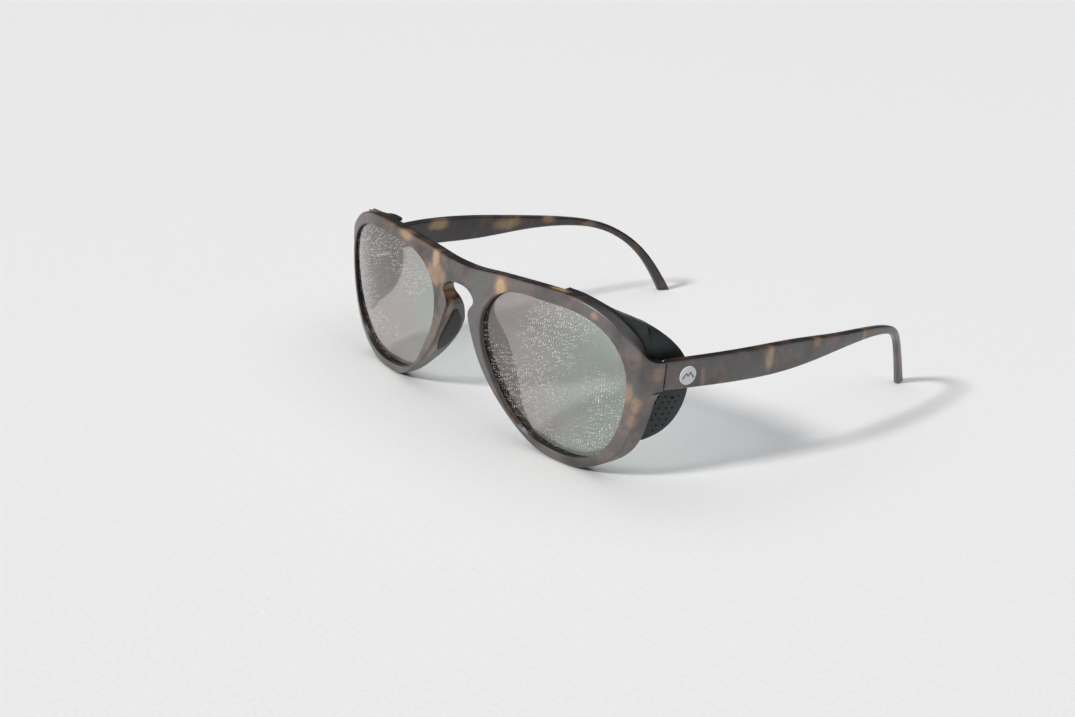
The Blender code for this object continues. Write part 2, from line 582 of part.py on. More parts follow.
def make_hinge(parts, cutters):
    """The two leaves of the barrel hinge and the screw that is its pin."""
    x, y = HINGE_AXIS
    top = HINGE_BOTTOM + hinge_height()
    bore = cylinder("hinge_bore", cutters, Matrix.Translation((x, y, (HINGE_BOTTOM + top) / 2)),
                    SCREW_RADIUS + SCREW_PLAY, hinge_height() + 2 * RELIEF)

    front_leaf = box("hinge_front_leaf_left", parts,
                     (x - LEAF_IN, y - FRONT_LEAF_LENGTH, HINGE_BOTTOM + LEAF_INSET),
                     (x - LEAF_IN + LEAF_THICKNESS, y, top - LEAF_INSET))
    gap_low = knuckle_middle(1) - KNUCKLE_HEIGHT / 2 - GAP
    gap_high = knuckle_middle(1) + KNUCKLE_HEIGHT / 2 + GAP
    for number in (0, 2):
        middle = Matrix.Translation((x, y, knuckle_middle(number)))
        knuckle = cylinder(f"knuckle_front_{number}", cutters, middle, KNUCKLE_RADIUS, KNUCKLE_HEIGHT)
        combine(front_leaf, knuckle, "UNION")
    wide = 2 * KNUCKLE_RADIUS
    slot = box("knuckle_slot", cutters, (x - wide, y - KNUCKLE_RADIUS - GAP, gap_low),
               (x + wide, y + wide, gap_high))
    combine(front_leaf, slot, "DIFFERENCE")
    combine(front_leaf, bore, "DIFFERENCE")

    temple_leaf = box("hinge_temple_leaf_left", parts,
                      (x - LEAF_IN, y + KNUCKLE_RADIUS + GAP, HINGE_BOTTOM + LEAF_INSET),
                      (x - LEAF_IN + LEAF_THICKNESS, y + TEMPLE_LEAF_LENGTH, top - LEAF_INSET),
                      -TEMPLE_SPLAY, (x, y))
    reach = KNUCKLE_HEIGHT / 2 - LEAF_INSET
    neck = box("knuckle_neck", cutters, (x - LEAF_IN + LEAF_INSET, y, knuckle_middle(1) - reach),
               (x - LEAF_IN + LEAF_THICKNESS - LEAF_INSET, y + KNUCKLE_RADIUS + 2 * GAP,
                knuckle_middle(1) + reach),
               -TEMPLE_SPLAY, (x, y))
    combine(temple_leaf, neck, "UNION")
    knuckle = cylinder("knuckle_temple", cutters, Matrix.Translation((x, y, knuckle_middle(1))),
                       KNUCKLE_RADIUS, KNUCKLE_HEIGHT)
    combine(temple_leaf, knuckle, "UNION")
    combine(temple_leaf, bore, "DIFFERENCE")

    screw = cylinder("hinge_screw_left", parts, Matrix.Translation((x, y, (HINGE_BOTTOM + top) / 2)),
                     SCREW_RADIUS, hinge_height() + 2 * SCREW_PROUD, 16)
    head = cylinder("screw_head", cutters,
                    Matrix.Translation((x, y, top + SCREW_PROUD + SCREW_HEAD_HEIGHT / 2)),
                    SCREW_HEAD_RADIUS, SCREW_HEAD_HEIGHT, 16)
    combine(screw, head, "UNION")
    return front_leaf, temple_leaf, screw


# ---- side shields ------------------------------------------------------------------------
def rail_point(outer, angle, share, depth):
    """A point of the rail: share runs from its inner edge to its outer edge."""
    over_lens = RAIL_OVER_LENS * smoothstep((30 - abs(angle - 8)) / 12)
    inner = np.array(opening(angle, RAIL_INNER - over_lens))
    x, z = inner * (1 - share) + np.array(outer) * share
    back = section_at(angle)[2] + RAIL_GAP + depth + RAIL_STEP * smoothstep((x - RAIL_STEP_X) / 2)
    return Vector((x, face_y(x, z) + back, z))


def make_rail(parts, cutters):
    """The carrier that lies on the back of the rim, from the top of the rim down its temple side."""
    edge = cubic(RAIL_EDGE, 2)(np.linspace(0, 1, RAIL_RINGS))
    share, bevel = RAIL_BEVEL
    section = ((0, 0), (1, 0), (1, RAIL_THICKNESS - bevel), (share, RAIL_THICKNESS), (0, RAIL_THICKNESS))
    rings = []
    for x, z, angle in edge:
        rings.append([rail_point((x, z), angle, share, depth) for share, depth in section])
    rail = loft("shield_rail_left", rings, parts)
    for number in range(len(MAGNET_ANGLES)):
        spot, axis = magnet_seat(number, rail=True)
        combine(rail, magnet(f"magnet_pocket_rail_{number + 1}", cutters, spot, axis, GAP), "DIFFERENCE")
    return rail


def crease_y(z):
    return CREASE[1] - CREASE_LEAN * (z - CREASE[2])


def wing_point(back, z):
    """A point on the middle surface of the wing, back from the crease."""
    out = WING_THICKNESS / 2 + WING_BULGE * (1 - math.exp(-back / WING_BULGE_LENGTH))
    return Vector((CREASE[0] + out, crease_y(z) + back, z))


def make_wing(parts, cutters):
    """A thin curved panel between the crease and its rounded back edge, notched for the hinge."""
    rows, columns = WING_ROWS, WING_COLUMNS
    bottom, top = WING_ROOT
    edge = cubic(WING_EDGE, 2)(np.linspace(0, 1, rows))
    points = []
    for i, (back, z) in enumerate(edge):
        root_z = bottom + (top - bottom) * i / (rows - 1)
        for j in range(columns):
            share = j / (columns - 1)
            points.append(wing_point(back * share, root_z + (z - root_z) * share))
    faces = [(i * columns + j, i * columns + j + 1, (i + 1) * columns + j + 1, (i + 1) * columns + j)
             for i in range(rows - 1) for j in range(columns - 1)]
    wing = make_object("shield_wing_left", points, faces, parts)
    solidify = wing.modifiers.new("thickness", "SOLIDIFY")
    solidify.thickness = WING_THICKNESS * MM
    solidify.offset = 0
    depth, low, high = WING_NOTCH
    x, y = CREASE[:2]
    cut = box("wing_notch", cutters, (x - depth, y - depth, low), (x + depth, y + depth, high))
    combine(wing, cut, "DIFFERENCE")
    trim = box("wing_trim", cutters, (x - depth, y - depth, 0), (x + depth, y + WING_TRIM, low + WING_TRIM))
    combine(wing, trim, "DIFFERENCE")
    return wing


def magnet_seat(number, rail=False):
    """Where a magnet's flush face lies, and the direction from that face into its part."""
    angle = MAGNET_ANGLES[number]
    edge = np.array(TOP_EDGE)
    along, z = (float(np.interp(angle, edge[:, 2], edge[:, k])) for k in (0, 1))
    length = math.dist(opening(angle), (along, z))
    inner = np.array(opening(angle))
    x, height = inner + (np.array((along, z)) - inner) / length * (length - MAGNET_INSETS[number])
    depth = section_at(angle)[2]
    spot = Vector((x, face_y(x, height) + depth, height))
    step = 0.1
    across = Vector((step, face_y(x + step, height) - face_y(x, height), 0))
    upwards = Vector((0, face_y(x, height + step) - face_y(x, height), step))
    back = upwards.cross(across).normalized()
    if back.y < 0:
        back.negate()
    if rail:
        return spot + back * RAIL_GAP, back
    return spot, -back


def magnet(name, collection, spot, axis, grow):
    """A disc magnet sunk in its part, or with grow its pocket, which is open at the face."""
    deep = MAGNET_THICKNESS + (POCKET_FLOOR if grow else 0)
    proud = POCKET_MOUTH if grow else -MAGNET_SUNK
    middle = spot + axis * (deep - proud) / 2
    matrix = Matrix.Translation(middle) @ axis.to_track_quat("Z", "Y").to_matrix().to_4x4()
    return cylinder(name, collection, matrix, MAGNET_RADIUS + grow, deep + proud, 16)


# ---- assembly ----------------------------------------------------------------------------
def pivot(name, spot, pieces, parts):
    """An empty on a joint's axis, with the pieces that turn about it as its children."""
    empty = bpy.data.objects.new(name, None)
    empty.empty_display_size = 0.01
    empty.location = Vector(spot) * MM
    parts.objects.link(empty)
    for piece in pieces:
        piece.parent = empty
        piece.matrix_parent_inverse = Matrix.Translation(-empty.location)


def main():
    for thing in list(bpy.data.objects):
        bpy.data.objects.remove(thing, do_unlink=True)
    parts = bpy.data.collections.new("glacier_glasses")
    cutters = bpy.data.collections.new("cutters")
    for collection in (parts, cutters):
        bpy.context.scene.collection.children.link(collection)

    finish(make_front(parts, cutters), TORTOISE)
    front_leaf, temple_leaf, screw = make_hinge(parts, cutters)
    left = {
        make_lens(parts): GREEN_LENS,
        pad_solid("nose_pad_left", parts, 0, PAD_SUNK, PAD_PROUD): BLACK_RUBBER,
        make_temple(parts, cutters): TORTOISE,
        cylinder("temple_disc_left", parts, disc_matrix(DISC_PROUD - DISC_THICKNESS / 2), DISC_RADIUS,
                 DISC_THICKNESS, 40): WHITE,
        front_leaf: STEEL,
        temple_leaf: STEEL,
        screw: STEEL,
        make_rail(parts, cutters): BLACK_SHIELD,
        make_wing(parts, cutters): BLACK_SHIELD,
    }
    for number in range(len(MAGNET_ANGLES)):
        spot, axis = magnet_seat(number)
        left[magnet(f"frame_magnet_{number + 1}_left", parts, spot, axis, 0)] = STEEL
        spot, axis = magnet_seat(number, rail=True)
        left[magnet(f"shield_magnet_{number + 1}_left", parts, spot, axis, 0)] = STEEL

    bpy.context.view_layer.update()
    for piece, look in left.items():
        twin = mirrored(piece, piece.name.replace("_left", "_right"), parts)
        finish(piece, look)
        finish(twin, look)

    pieces = parts.objects
    for side, sign in (("left", 1), ("right", -1)):
        x, y = HINGE_AXIS
        moving = [pieces[f"{name}_{side}"] for name in ("temple", "temple_disc", "hinge_temple_leaf")]
        pivot(f"temple_pivot_{side}", (sign * x, y, END_PIECE_Z), moving, parts)
        pivot(f"wing_pivot_{side}", (sign * CREASE[0], *CREASE[1:]), [pieces[f"shield_wing_{side}"]], parts)


main()
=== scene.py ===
"""The looks of the glacier glasses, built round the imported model.

Lengths in this file are in millimetres and angles in degrees; MM turns them into metres when a
mesh is made. The front faces -Y, the wearer's left is at +X, and Z is up. The left half is
modelled, and the right half is its mirror image. Materials are worked out in object space, so
the pattern of the two halves differs.
"""
import math

import bmesh
import bpy
import numpy as np
from mathutils import Matrix, Vector


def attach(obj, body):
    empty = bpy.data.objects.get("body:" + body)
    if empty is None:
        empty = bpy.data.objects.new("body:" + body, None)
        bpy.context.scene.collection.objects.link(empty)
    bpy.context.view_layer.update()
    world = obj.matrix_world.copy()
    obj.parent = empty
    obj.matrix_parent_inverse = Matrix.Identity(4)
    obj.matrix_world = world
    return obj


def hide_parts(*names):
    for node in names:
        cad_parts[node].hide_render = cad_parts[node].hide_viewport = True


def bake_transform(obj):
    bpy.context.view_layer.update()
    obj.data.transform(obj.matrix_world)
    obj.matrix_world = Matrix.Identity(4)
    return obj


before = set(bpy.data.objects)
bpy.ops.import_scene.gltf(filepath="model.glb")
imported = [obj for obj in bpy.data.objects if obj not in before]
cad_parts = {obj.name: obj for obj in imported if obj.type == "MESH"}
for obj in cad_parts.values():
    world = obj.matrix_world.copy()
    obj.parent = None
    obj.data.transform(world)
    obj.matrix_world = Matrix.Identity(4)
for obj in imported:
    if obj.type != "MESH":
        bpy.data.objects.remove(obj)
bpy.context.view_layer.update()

MM = 0.001
PER_MM = 1000.0
SHARP_ANGLE = 38.0

# ---- camera and light
CAMERA = (273.8, -297.8, 153.9)
TARGET = (9.325, -50.493, 16.247)
ROLL = 4.943
SENSOR = 36.0
FOCAL_LENGTH = 44.43
SUN_FROM = (-0.079, -0.845, 0.528)

# ---- frame front: the driving shape, as in the solid part
FACE_Y = -74.3
SWEEP = 6.7
SWEEP_X = 60.0
SWEEP_POWER = 4.4
LEAN = 0.063
LEAN_OUT = 0.0005
DISH = 0.00415
BEND_X = 62.5
BEND_RADIUS = 8.4
TURN_FROM = 58.5
TURN_LOW = (27.4, 28.6)
FRONT_END_Y = -59.4
END_PIECE_Z = 32.4
LENS_CENTRE = (36.6, 25.3)
# Radius of the lens opening every 22.5 degrees, from the temple side towards the top.
OPENING_RADII = (24.2, 25.2, 24.3, 21.7, 20.1, 21.3, 25.0, 27.2,
                 25.3, 22.5, 22.2, 22.2, 22.0, 23.4, 24.4, 23.9)
# Outer edge of the front: x along the face, z, and the angle round the lens that it faces.
TOP_EDGE = ((71.4, 36.3, 22), (68.6, 36.6, 23.5), (66, 37.6, 26), (63.4, 39.8, 31), (60.8, 41.9, 36),
            (58, 44, 42), (55.2, 45.9, 48.5), (52.2, 47.3, 55), (49.2, 48.2, 61), (46, 48.8, 68),
            (41, 49.1, 79.5), (36, 49, 91.5), (28.7, 48.5, 108.8), (20.8, 47.8, 124),
            (12.5, 46.9, 132.5), (6, 46.1, 137), (-2, 45.8, 140))
LOWER_EDGE = ((-2, 40, 144), (1.4, 40.05, 146), (3.3, 39.7, 148), (4.9, 39, 150.5), (6.1, 38, 153),
              (6.7, 36.9, 155.5), (6.5, 35.9, 158), (5.7, 34.9, 160.5), (5, 33.9, 163), (4.7, 32.5, 166),
              (5.1, 31, 169.5), (5.8, 29.2, 173), (7.2, 25.8, 179), (8.6, 22.8, 184.8), (10.5, 19.4, 192.8),
              (13, 15.9, 201.8), (16.1, 12.3, 212.6), (19.4, 9.1, 223.4), (23.4, 5.8, 236), (27.5, 3, 247.6),
              (31.5, 1.1, 258), (37, 0, 271), (42, 0, 282), (47, 0.8, 292.5), (51.7, 2.9, 303.5),
              (55.8, 5.8, 314), (58.9, 8.9, 323), (60.9, 12.2, 331.5), (62.3, 16.2, 340.5),
              (63.6, 20.5, 349.5), (64.6, 23.8, 356.5), (65.6, 26, 361.5), (67, 27.5, 365),
              (68.9, 28.3, 366.5), (71.4, 28.6, 367.5))
BRIDGE_END = ((-2, 43, 142),)
TEMPLE_END = ((71.4, 31.2, 372.4), (71.4, 33.8, 377.2))
# Section round the lens: angle, depth of the outer wall, how far its back edge moves outwards,
# depth of the inner crest, and how far the crest reaches in over the lens opening.
SECTIONS = ((7.5, 3.6, 0, 4.2, -0.4), (22, 3.6, 0, 4.2, -0.4), (40, 4.1, 0.2, 4.1, -0.4),
            (66, 3.7, 0, 3.7, -0.4), (110, 3.8, 0, 3.8, -0.4), (140, 3.8, 0, 3.8, -0.4),
            (146, 3.8, 0, 4, -0.3), (152, 4, -0.1, 4.4, -0.2), (160.5, 5.4, -0.5, 5.8, 0.2),
            (166, 7, -0.9, 7.3, 0.5), (173, 9.3, -1.4, 9.3, 0.6), (180, 11, -1.6, 10.6, 0.6),
            (188, 11.3, -1.6, 10.9, 0.6), (200, 10.6, -1.4, 10.3, 0.6), (213, 9.3, -1, 9, 0.5),
            (228, 7.2, -0.5, 7.1, 0.2), (244, 5.3, 0, 5.3, -0.3), (262, 4.6, 0, 4.6, -0.4),
            (300, 4.6, 0, 4.6, -0.4), (325, 4.6, 0.4, 4.6, -0.4), (340, 5.2, 0.4, 4.6, -0.4),
            (352, 5.5, 0.3, 4.6, -0.4), (360, 5.2, 0.2, 4.5, -0.4), (364.5, 4.6, 0.1, 4.5, -0.4))
POINTS_PER_SPAN = 4
FACE_POINTS = 5
WALL_POINTS = 5
CORNER_STEPS = 4
FRONT_RADIUS = 0.5
BACK_RADIUS = 0.6
OPENING_RADIUS = 0.4
CREST_RADIUS = 0.35

# ---- lenses
LENS_RECESS = 1.5
LENS_THICKNESS = 1.6
LENS_INSERT = 0.75
LENS_SLOPE = (-0.012, -0.02)
LENS_STEPS = 160
LENS_RINGS = 14
GROOVE_DEPTH = 1.05
GROOVE_PLAY = 0.25
GROOVE_LIP = 0.35

# ---- temples and hinges
HINGE_AXIS = (63.6, -59.3)
HINGE_BOTTOM = 29.7
HINGE_HEIGHT = 5.4
KNUCKLE_RADIUS = 1.4
LEAF_THICKNESS = 1.2
LEAF_IN = 0.5
FRONT_LEAF_LENGTH = 3.2
TEMPLE_LEAF_LENGTH = 7.0
TEMPLE_SPLAY = 11.0
RELIEF = 1.2
SCREW_RADIUS = 0.55
SCREW_HEAD_RADIUS = 1.0
SCREW_HEAD_HEIGHT = 0.5
SCREW_PROUD = 0.2
SCREW_CHAMFER = 0.1
SCREW_RIM = 0.15
SLOT_HALF = 0.13
SLOT_FLOOR = 0.22
GAP = 0.3
# Centre line of the left temple, with the strip's height and thickness.
TEMPLE_LINE = ((65.25, -59.2, 32.4, 7.6, 3.1), (67.3, -48.7, 32.2, 7.9, 3.1), (69.6, -34, 31.9, 8.3, 3),
               (69.9, -10.5, 30.9, 7.8, 2.9), (69.1, 8.7, 30.3, 5.1, 2.6), (66.5, 31.5, 28.8, 2.9, 2.3),
               (63.5, 46, 25.6, 2.5, 2.1), (58.7, 58.6, 17.8, 2.9, 2), (54.1, 71.95, 0, 4.4, 1.9))
TEMPLE_RINGS = 150
TEMPLE_CORNER = (0.5, 0.75)  # corner radius at the hinge and at the tip
TEMPLE_END_RADIUS = 0.3
DISC_Y = -52.1
DISC_Z = 32.0
DISC_RADIUS = 2.6
DISC_THICKNESS = 0.5
DISC_PROUD = 0.15

DISC_SEAM = 0.08
DISC_CROWN = 0.04
# The motif's line of hills on the inlay, and the width of its stroke.
MOTIF_LINE = ((-1.75, -0.75), (-0.65, 0.65), (-0.05, -0.15), (0.6, 0.85), (1.8, -0.75))
MOTIF_WIDTH = 0.3
MOTIF_PROUD = 0.04

# ---- nose pads
PAD_ANGLES = (172.0, 207.0)
PAD_MIDDLE = 0.57
PAD_HALF_WIDTH = 0.38
PAD_SUNK = 0.8
PAD_PROUD = 0.3
PAD_CROWN = 0.25
PAD_SEAM = 0.12
PAD_ROWS = 36
PAD_COLUMNS = 14
PAD_BACK = (0.5, 1.1)
PAD_TAPER = (0.05, 0.9, 0.75)
BUMP_MM_PER_DEGREE = 0.45
BUMP_DEPTH = 9.0

# ---- side shields
RAIL_THICKNESS = 1.1
RAIL_GAP = 0.45
RAIL_STEP = 0.4
RAIL_STEP_X = 59.5
RAIL_INNER = 0.6
RAIL_OVER_LENS = 1.1
RAIL_EDGE = ((37.2, 48.8, 89), (41.3, 48.9, 79), (46, 48.5, 68), (50, 47.9, 59), (54, 47, 51),
             (58, 45.9, 44), (61.3, 44.6, 38), (61.5, 41, 33), (61.5, 37, 27), (61.5, 32, 17),
             (61.5, 26, 2), (61.5, 21, -9), (61.3, 17, -17.5), (60.7, 14.2, -24.5), (59.8, 12, -31))
# The hood behind the rail, one row for each point of the rail's edge: crease and back edge.
HOOD_CREASE = ((37.2, -67.6, 48.8), (41.4, -66.8, 48.6), (46, -65.4, 47.6), (50.2, -64.1, 46.3),
               (54.2, -63.2, 45), (58, -62.5, 43.6), (61.2, -61.6, 42.3), (62.3, -60.7, 40.4),
               (62.6, -59.6, 37.4), (62.5, -58.9, 32.4), (62.3, -58.7, 26.5), (62.1, -58.7, 21.3),
               (61.8, -58.7, 17.2), (61.2, -58.8, 14.5), (60.2, -59.1, 12.6))
HOOD_BACK = ((37.2, -67.1, 48.8), (41.4, -66.4, 48.7), (46, -64.9, 47.6), (50.5, -63.6, 46.5),
             (54.9, -62.6, 46.1), (58.8, -62, 45.8), (61.6, -60.1, 44.6), (62.9, -56.2, 41.9),
             (63.4, -51.4, 37.9), (63.6, -47.2, 32.5), (63.6, -46.1, 26.5), (63.3, -47.3, 20.5),
             (62.9, -50.6, 16.2), (62.2, -54.6, 13.9), (60.6, -58.4, 12.4))
HOOD_ROWS = 110
BAND_COLUMNS = 6
WING_COLUMNS = 16
HOOD_THICKNESS = 0.9
HOOD_BULGE = 0.35
HOOD_CENTRE = (45.0, 27.0)
FOLD_POINT = (61.8, -59.8, 29.0)
NOTCH_LOW = (61.7, -62.4, 28.2)
NOTCH_HIGH = (70.0, -51.8, 35.15)
HOLE_TOP = 24.6
HOLE_PITCH = (2.3, 1.65)
HOLE_START = -51.8
HOLE_DRIFT = 0.8  # each row of holes starts further forward
HOLE_FALL = 0.12  # rows fall by this much for each millimetre back
HOLE_RADIUS = 0.3
HOLE_ROWS = 7
HOLE_MARGIN = (1.6, 2.4)  # kept clear behind the fold and before the back edge
MAGNET_ANGLES = (66.0, 37.0)
MAGNET_INSETS = (1.7, 1.9)
MAGNET_RADIUS = 0.9
MAGNET_THICKNESS = 0.7
POCKET_FLOOR = 0.25
POCKET_MOUTH = 0.6
POCKET_PLAY = 0.3

# ---- colours, linear
BLACK_BROWN = (0.012, 0.010, 0.009)
DARK_BROWN = (0.022, 0.014, 0.010)
RED_BROWN = (0.080, 0.036, 0.020)
AMBER = (0.19, 0.105, 0.048)
TAN = (0.42, 0.29, 0.135)
# Grey haze in the base colour of the front and outer faces: partly the blasted finish, partly painted sheen
# standing for reflected light from the bright floor.
HAZE_AND_PAINTED_SHEEN = (0.092, 0.090, 0.089)
WARP_SCALE = 0.25  # features per millimetre, as for all the scales here
MOTTLE_SCALE = 0.14
STRAY_SCALE = 0.085
STREAK_SCALE = 0.5
CLOUD_SCALE = 0.1
GRAIN_SCALE = 7.0
GRAIN_DEPTH = 0.012
PATCH_EDGE = (0.4, 1.6)
POLISHED_ROUGHNESS = (0.26, 0.36)
BLASTED_EXTRA = 0.2
WARP = 2.4  # how far the pattern is drawn out of shape
# Amber patches: centre, radii and strength.
AMBER_PATCHES = (
    ((17.9, -74.1, 44.2), (2.8, 3, 3.4), 0.9), ((-11.0, -74.1, 44.4), (1.6, 3, 3.4), 0.75),
    ((-7.6, -73.4, 39.8), (2.0, 3, 2.4), 0.6), ((-26.2, -73.7, 47.4), (3.6, 3, 1.9), 0.7),
    ((-6.5, -72.1, 36.2), (2.0, 2.5, 2.8), 0.7),
    ((-5.6, -72.4, 31.5), (1.4, 1.6, 5.4), 0.65), ((-14.5, -70.5, 15.0), (3.5, 1.6, 7.0), 0.6),
    ((37.5, -71.0, 49.2), (3.4, 1.6, 1.2), 0.85), ((50.9, -71.1, 45.9), (1.4, 2, 1.2), 0.6),
    ((61.6, -67.1, 27.3), (1.5, 2, 3.4), 0.6), ((66.4, -61.5, 33.3), (2.4, 2.4, 2.4), 0.5),
    ((63.7, -65.4, 24.7), (1.7, 2.2, 2.6), 0.6), ((62.7, -65.5, 19.9), (1.7, 2.2, 2.6), 0.5),
    ((69.1, -47.4, 30.9), (2, 0.9, 3.4), 0.55), ((71.6, -23.6, 32.6), (2, 1.9, 4.0), 0.8),
    ((71.0, -2.1, 33.0), (2, 1.9, 2.4), 0.6), ((68.7, 24.1, 29.6), (2, 1.5, 3.0), 0.65),
    ((-68.5, -28.5, 34.0), (3.0, 4.6, 2.0), 0.95), ((-68.1, 2.1, 31.0), (3.0, 6.5, 2.3), 0.8),
    ((-67.2, 20.4, 30.6), (2.4, 3.2, 1.6), 0.7), ((-64.9, 38.4, 27.4), (2.4, 3.6, 1.6), 0.6))
# Lens colours across each lens, LENS_SPAN wide: a painted rose-grey reflection blending through grey into
# the green tint of the glass.
PAINTED_ROSE_REFLECTION = (0.34, 0.31, 0.32)
LENS_GREEN = (0.36, 0.45, 0.41)
LENS_GREY = (0.38, 0.39, 0.375)
LENS_SHADE = (0.38, 0.43, 0.42)
COAT_PINK = (1.0, 0.93, 0.91)
FROST = (0.80, 0.80, 0.80)
FROST_DENSITY = 1.35  # cells per millimetre
FROST_FINE_SCALE = 2.4
FROST_DRIFT_SCALE = 0.05
LENS_SPAN = 62.0
STEEL_DARK = (0.10, 0.10, 0.105)
STEEL_LIGHT = (0.17, 0.17, 0.175)
WHITE_WORN = (0.66, 0.67, 0.70)
WHITE = (0.78, 0.78, 0.80)
FLOOR_DARK = (0.82, 0.82, 0.82)
FLOOR_LIGHT = (0.87, 0.87, 0.87)
FLOOR_HALF = 12.0  # metres
FLOOR_DROP = 0.0001  # metres
SKY_LOW = (0.05, 0.053, 0.06)
SKY_MIDDLE = (0.16, 0.165, 0.18)
SKY_HIGH = (1.08, 1.09, 1.12)
SKY_STRENGTH = 0.9
SUN_STRENGTH = 2.6
SUN_WIDTH = 8.0
SUN_COLOUR = (1.0, 0.985, 0.96)


# ---- curves
def spline_through(knots, rows):
    """A natural cubic spline through rows at the given knots."""
    count = len(knots)
    gaps = np.diff(knots)
    matrix = np.eye(count)
    right = np.zeros_like(rows)
    for i in range(1, count - 1):
        matrix[i, i - 1:i + 2] = gaps[i - 1], 2 * (gaps[i - 1] + gaps[i]), gaps[i]
        right[i] = 6 * ((rows[i + 1] - rows[i]) / gaps[i] - (rows[i] - rows[i - 1]) / gaps[i - 1])
    bend = np.linalg.solve(matrix, right)

    def at(where):
        where = np.atleast_1d(where)
        i = np.clip(np.searchsorted(knots, where, side="right") - 1, 0, count - 2)
        a = ((knots[i + 1] - where) / gaps[i])[:, None]
        b = 1 - a
        curve = ((a ** 3 - a) * bend[i] + (b ** 3 - b) * bend[i + 1]) * (gaps[i] ** 2)[:, None] / 6
        return a * rows[i] + b * rows[i + 1] + curve
    return at


def chord_knots(rows, columns):
    steps = np.linalg.norm(np.diff(rows[:, :columns], axis=0), axis=1)
    return np.concatenate([[0], np.cumsum(steps)]) / steps.sum()


def resampled(points, points_per_span):
    """A spline through points, read at every point and evenly between them."""
    rows = np.array(points, float)
    knots = chord_knots(rows, 2)
    spans = len(rows) - 1
    where = np.interp(np.linspace(0, spans, spans * points_per_span + 1), range(spans + 1), knots)
    return spline_through(knots, rows)(where)


def smoothstep(value):
    value = np.clip(value, 0, 1)
    return value * value * (3 - 2 * value)


def corner(radius, steps=CORNER_STEPS):
    """A quarter circle as pairs: distance from the side, then depth below the face."""
    turns = [math.pi / 2 * k / steps for k in range(steps + 1)]
    return [(radius * (1 - math.sin(turn)), radius * (1 - math.cos(turn))) for turn in turns]


# ---- the surface that the front is laid out on
def face_y(x, z):
    """Front face of the frame, without the end piece's bend."""
    low = z - LENS_CENTRE[1]
    sweep = SWEEP * (abs(x) / SWEEP_X) ** SWEEP_POWER
    return FACE_Y + sweep - (LEAN + LEAN_OUT * abs(x)) * low + DISH * low * low


def place(along, z, depth):
    """A point of the front: along its face from the middle, at height z, depth behind the face."""
    slope = math.atan(SWEEP * SWEEP_POWER / SWEEP_X * (BEND_X / SWEEP_X) ** (SWEEP_POWER - 1))
    x = min(along, BEND_X)
    y = face_y(x, z)
    bend_length = BEND_RADIUS * (math.pi / 2 - slope)
    if along > BEND_X:
        share = (along - BEND_X) / bend_length
        heading = slope + min(share, 1) * (math.pi / 2 - slope)
        y = y + (face_y(x, END_PIECE_Z) - y) * smoothstep(share)
        x += BEND_RADIUS * (math.sin(heading) - math.sin(slope))
        y += BEND_RADIUS * (math.cos(slope) - math.cos(heading))
    turn = math.pi / 2 * smoothstep((along - TURN_FROM) / (BEND_X + bend_length - TURN_FROM))
    turn *= smoothstep((z - TURN_LOW[0]) / (TURN_LOW[1] - TURN_LOW[0]))
    back = min(depth * math.cos(turn), max(FRONT_END_Y - y, 0))
    return Vector((x - depth * math.sin(turn), y + back, z))


OPENING_KNOTS = np.arange(-3, len(OPENING_RADII) + 4) * 360 / len(OPENING_RADII)
OPENING_ROWS = [[OPENING_RADII[i % len(OPENING_RADII)]] for i in range(-3, len(OPENING_RADII) + 4)]
OPENING_SPLINE = spline_through(OPENING_KNOTS, np.array(OPENING_ROWS))


def opening(angle, grow=0.0):
    """A point on the edge of the lens opening, grown outwards by grow."""
    radius = OPENING_SPLINE(angle % 360)[0, 0] + grow
    turn = math.radians(angle)
    return LENS_CENTRE[0] + radius * math.cos(turn), LENS_CENTRE[1] + radius * math.sin(turn)


def lens_depth(x, z):
    return LENS_RECESS + LENS_SLOPE[0] * (x - LENS_CENTRE[0]) + LENS_SLOPE[1] * (z - LENS_CENTRE[1])


def section_at(angle):
    table = np.array(SECTIONS + tuple((row[0] + 360,) + row[1:] for row in SECTIONS))
    where = (angle - SECTIONS[0][0]) % 360 + SECTIONS[0][0]
    return [float(np.interp(where, table[:, 0], table[:, k])) for k in range(1, 5)]


def outer_edge():
    """Stations of the outer edge, all the way round: along, z, angle."""
    stations = np.vstack([resampled(TOP_EDGE, POINTS_PER_SPAN), BRIDGE_END,
                          resampled(LOWER_EDGE, POINTS_PER_SPAN), TEMPLE_END])
    stations[:, 1] = np.maximum(stations[:, 1], 0)
    return stations


def opening_point(angle, outwards, depth):
    """A point at a distance outwards from the lens opening and a depth behind the face."""
    x, z = opening(angle, outwards)
    return Vector((x, face_y(x, z) + depth, z))


def groove_point(angle, outwards, behind):
    """A point at a distance outwards from the lens opening and behind the front of the lens."""
    x, z = opening(angle, outwards)
    return Vector((x, face_y(x, z) + lens_depth(x, z) + behind, z))


def station_point(station, outwards, depth):
    """A point at a distance outwards from the opening, on the line to the station's outer edge."""
    along, z, angle = station
    inner = np.array(opening(angle))
    outer = np.array((along, z))
    spot = inner + (outer - inner) / np.linalg.norm(outer - inner) * outwards
    return place(spot[0], spot[1], depth)


def between(first, last, count):
    """Evenly spaced shares from first to last, without the two ends."""
    return np.linspace(first, last, count + 2)[1:-1]


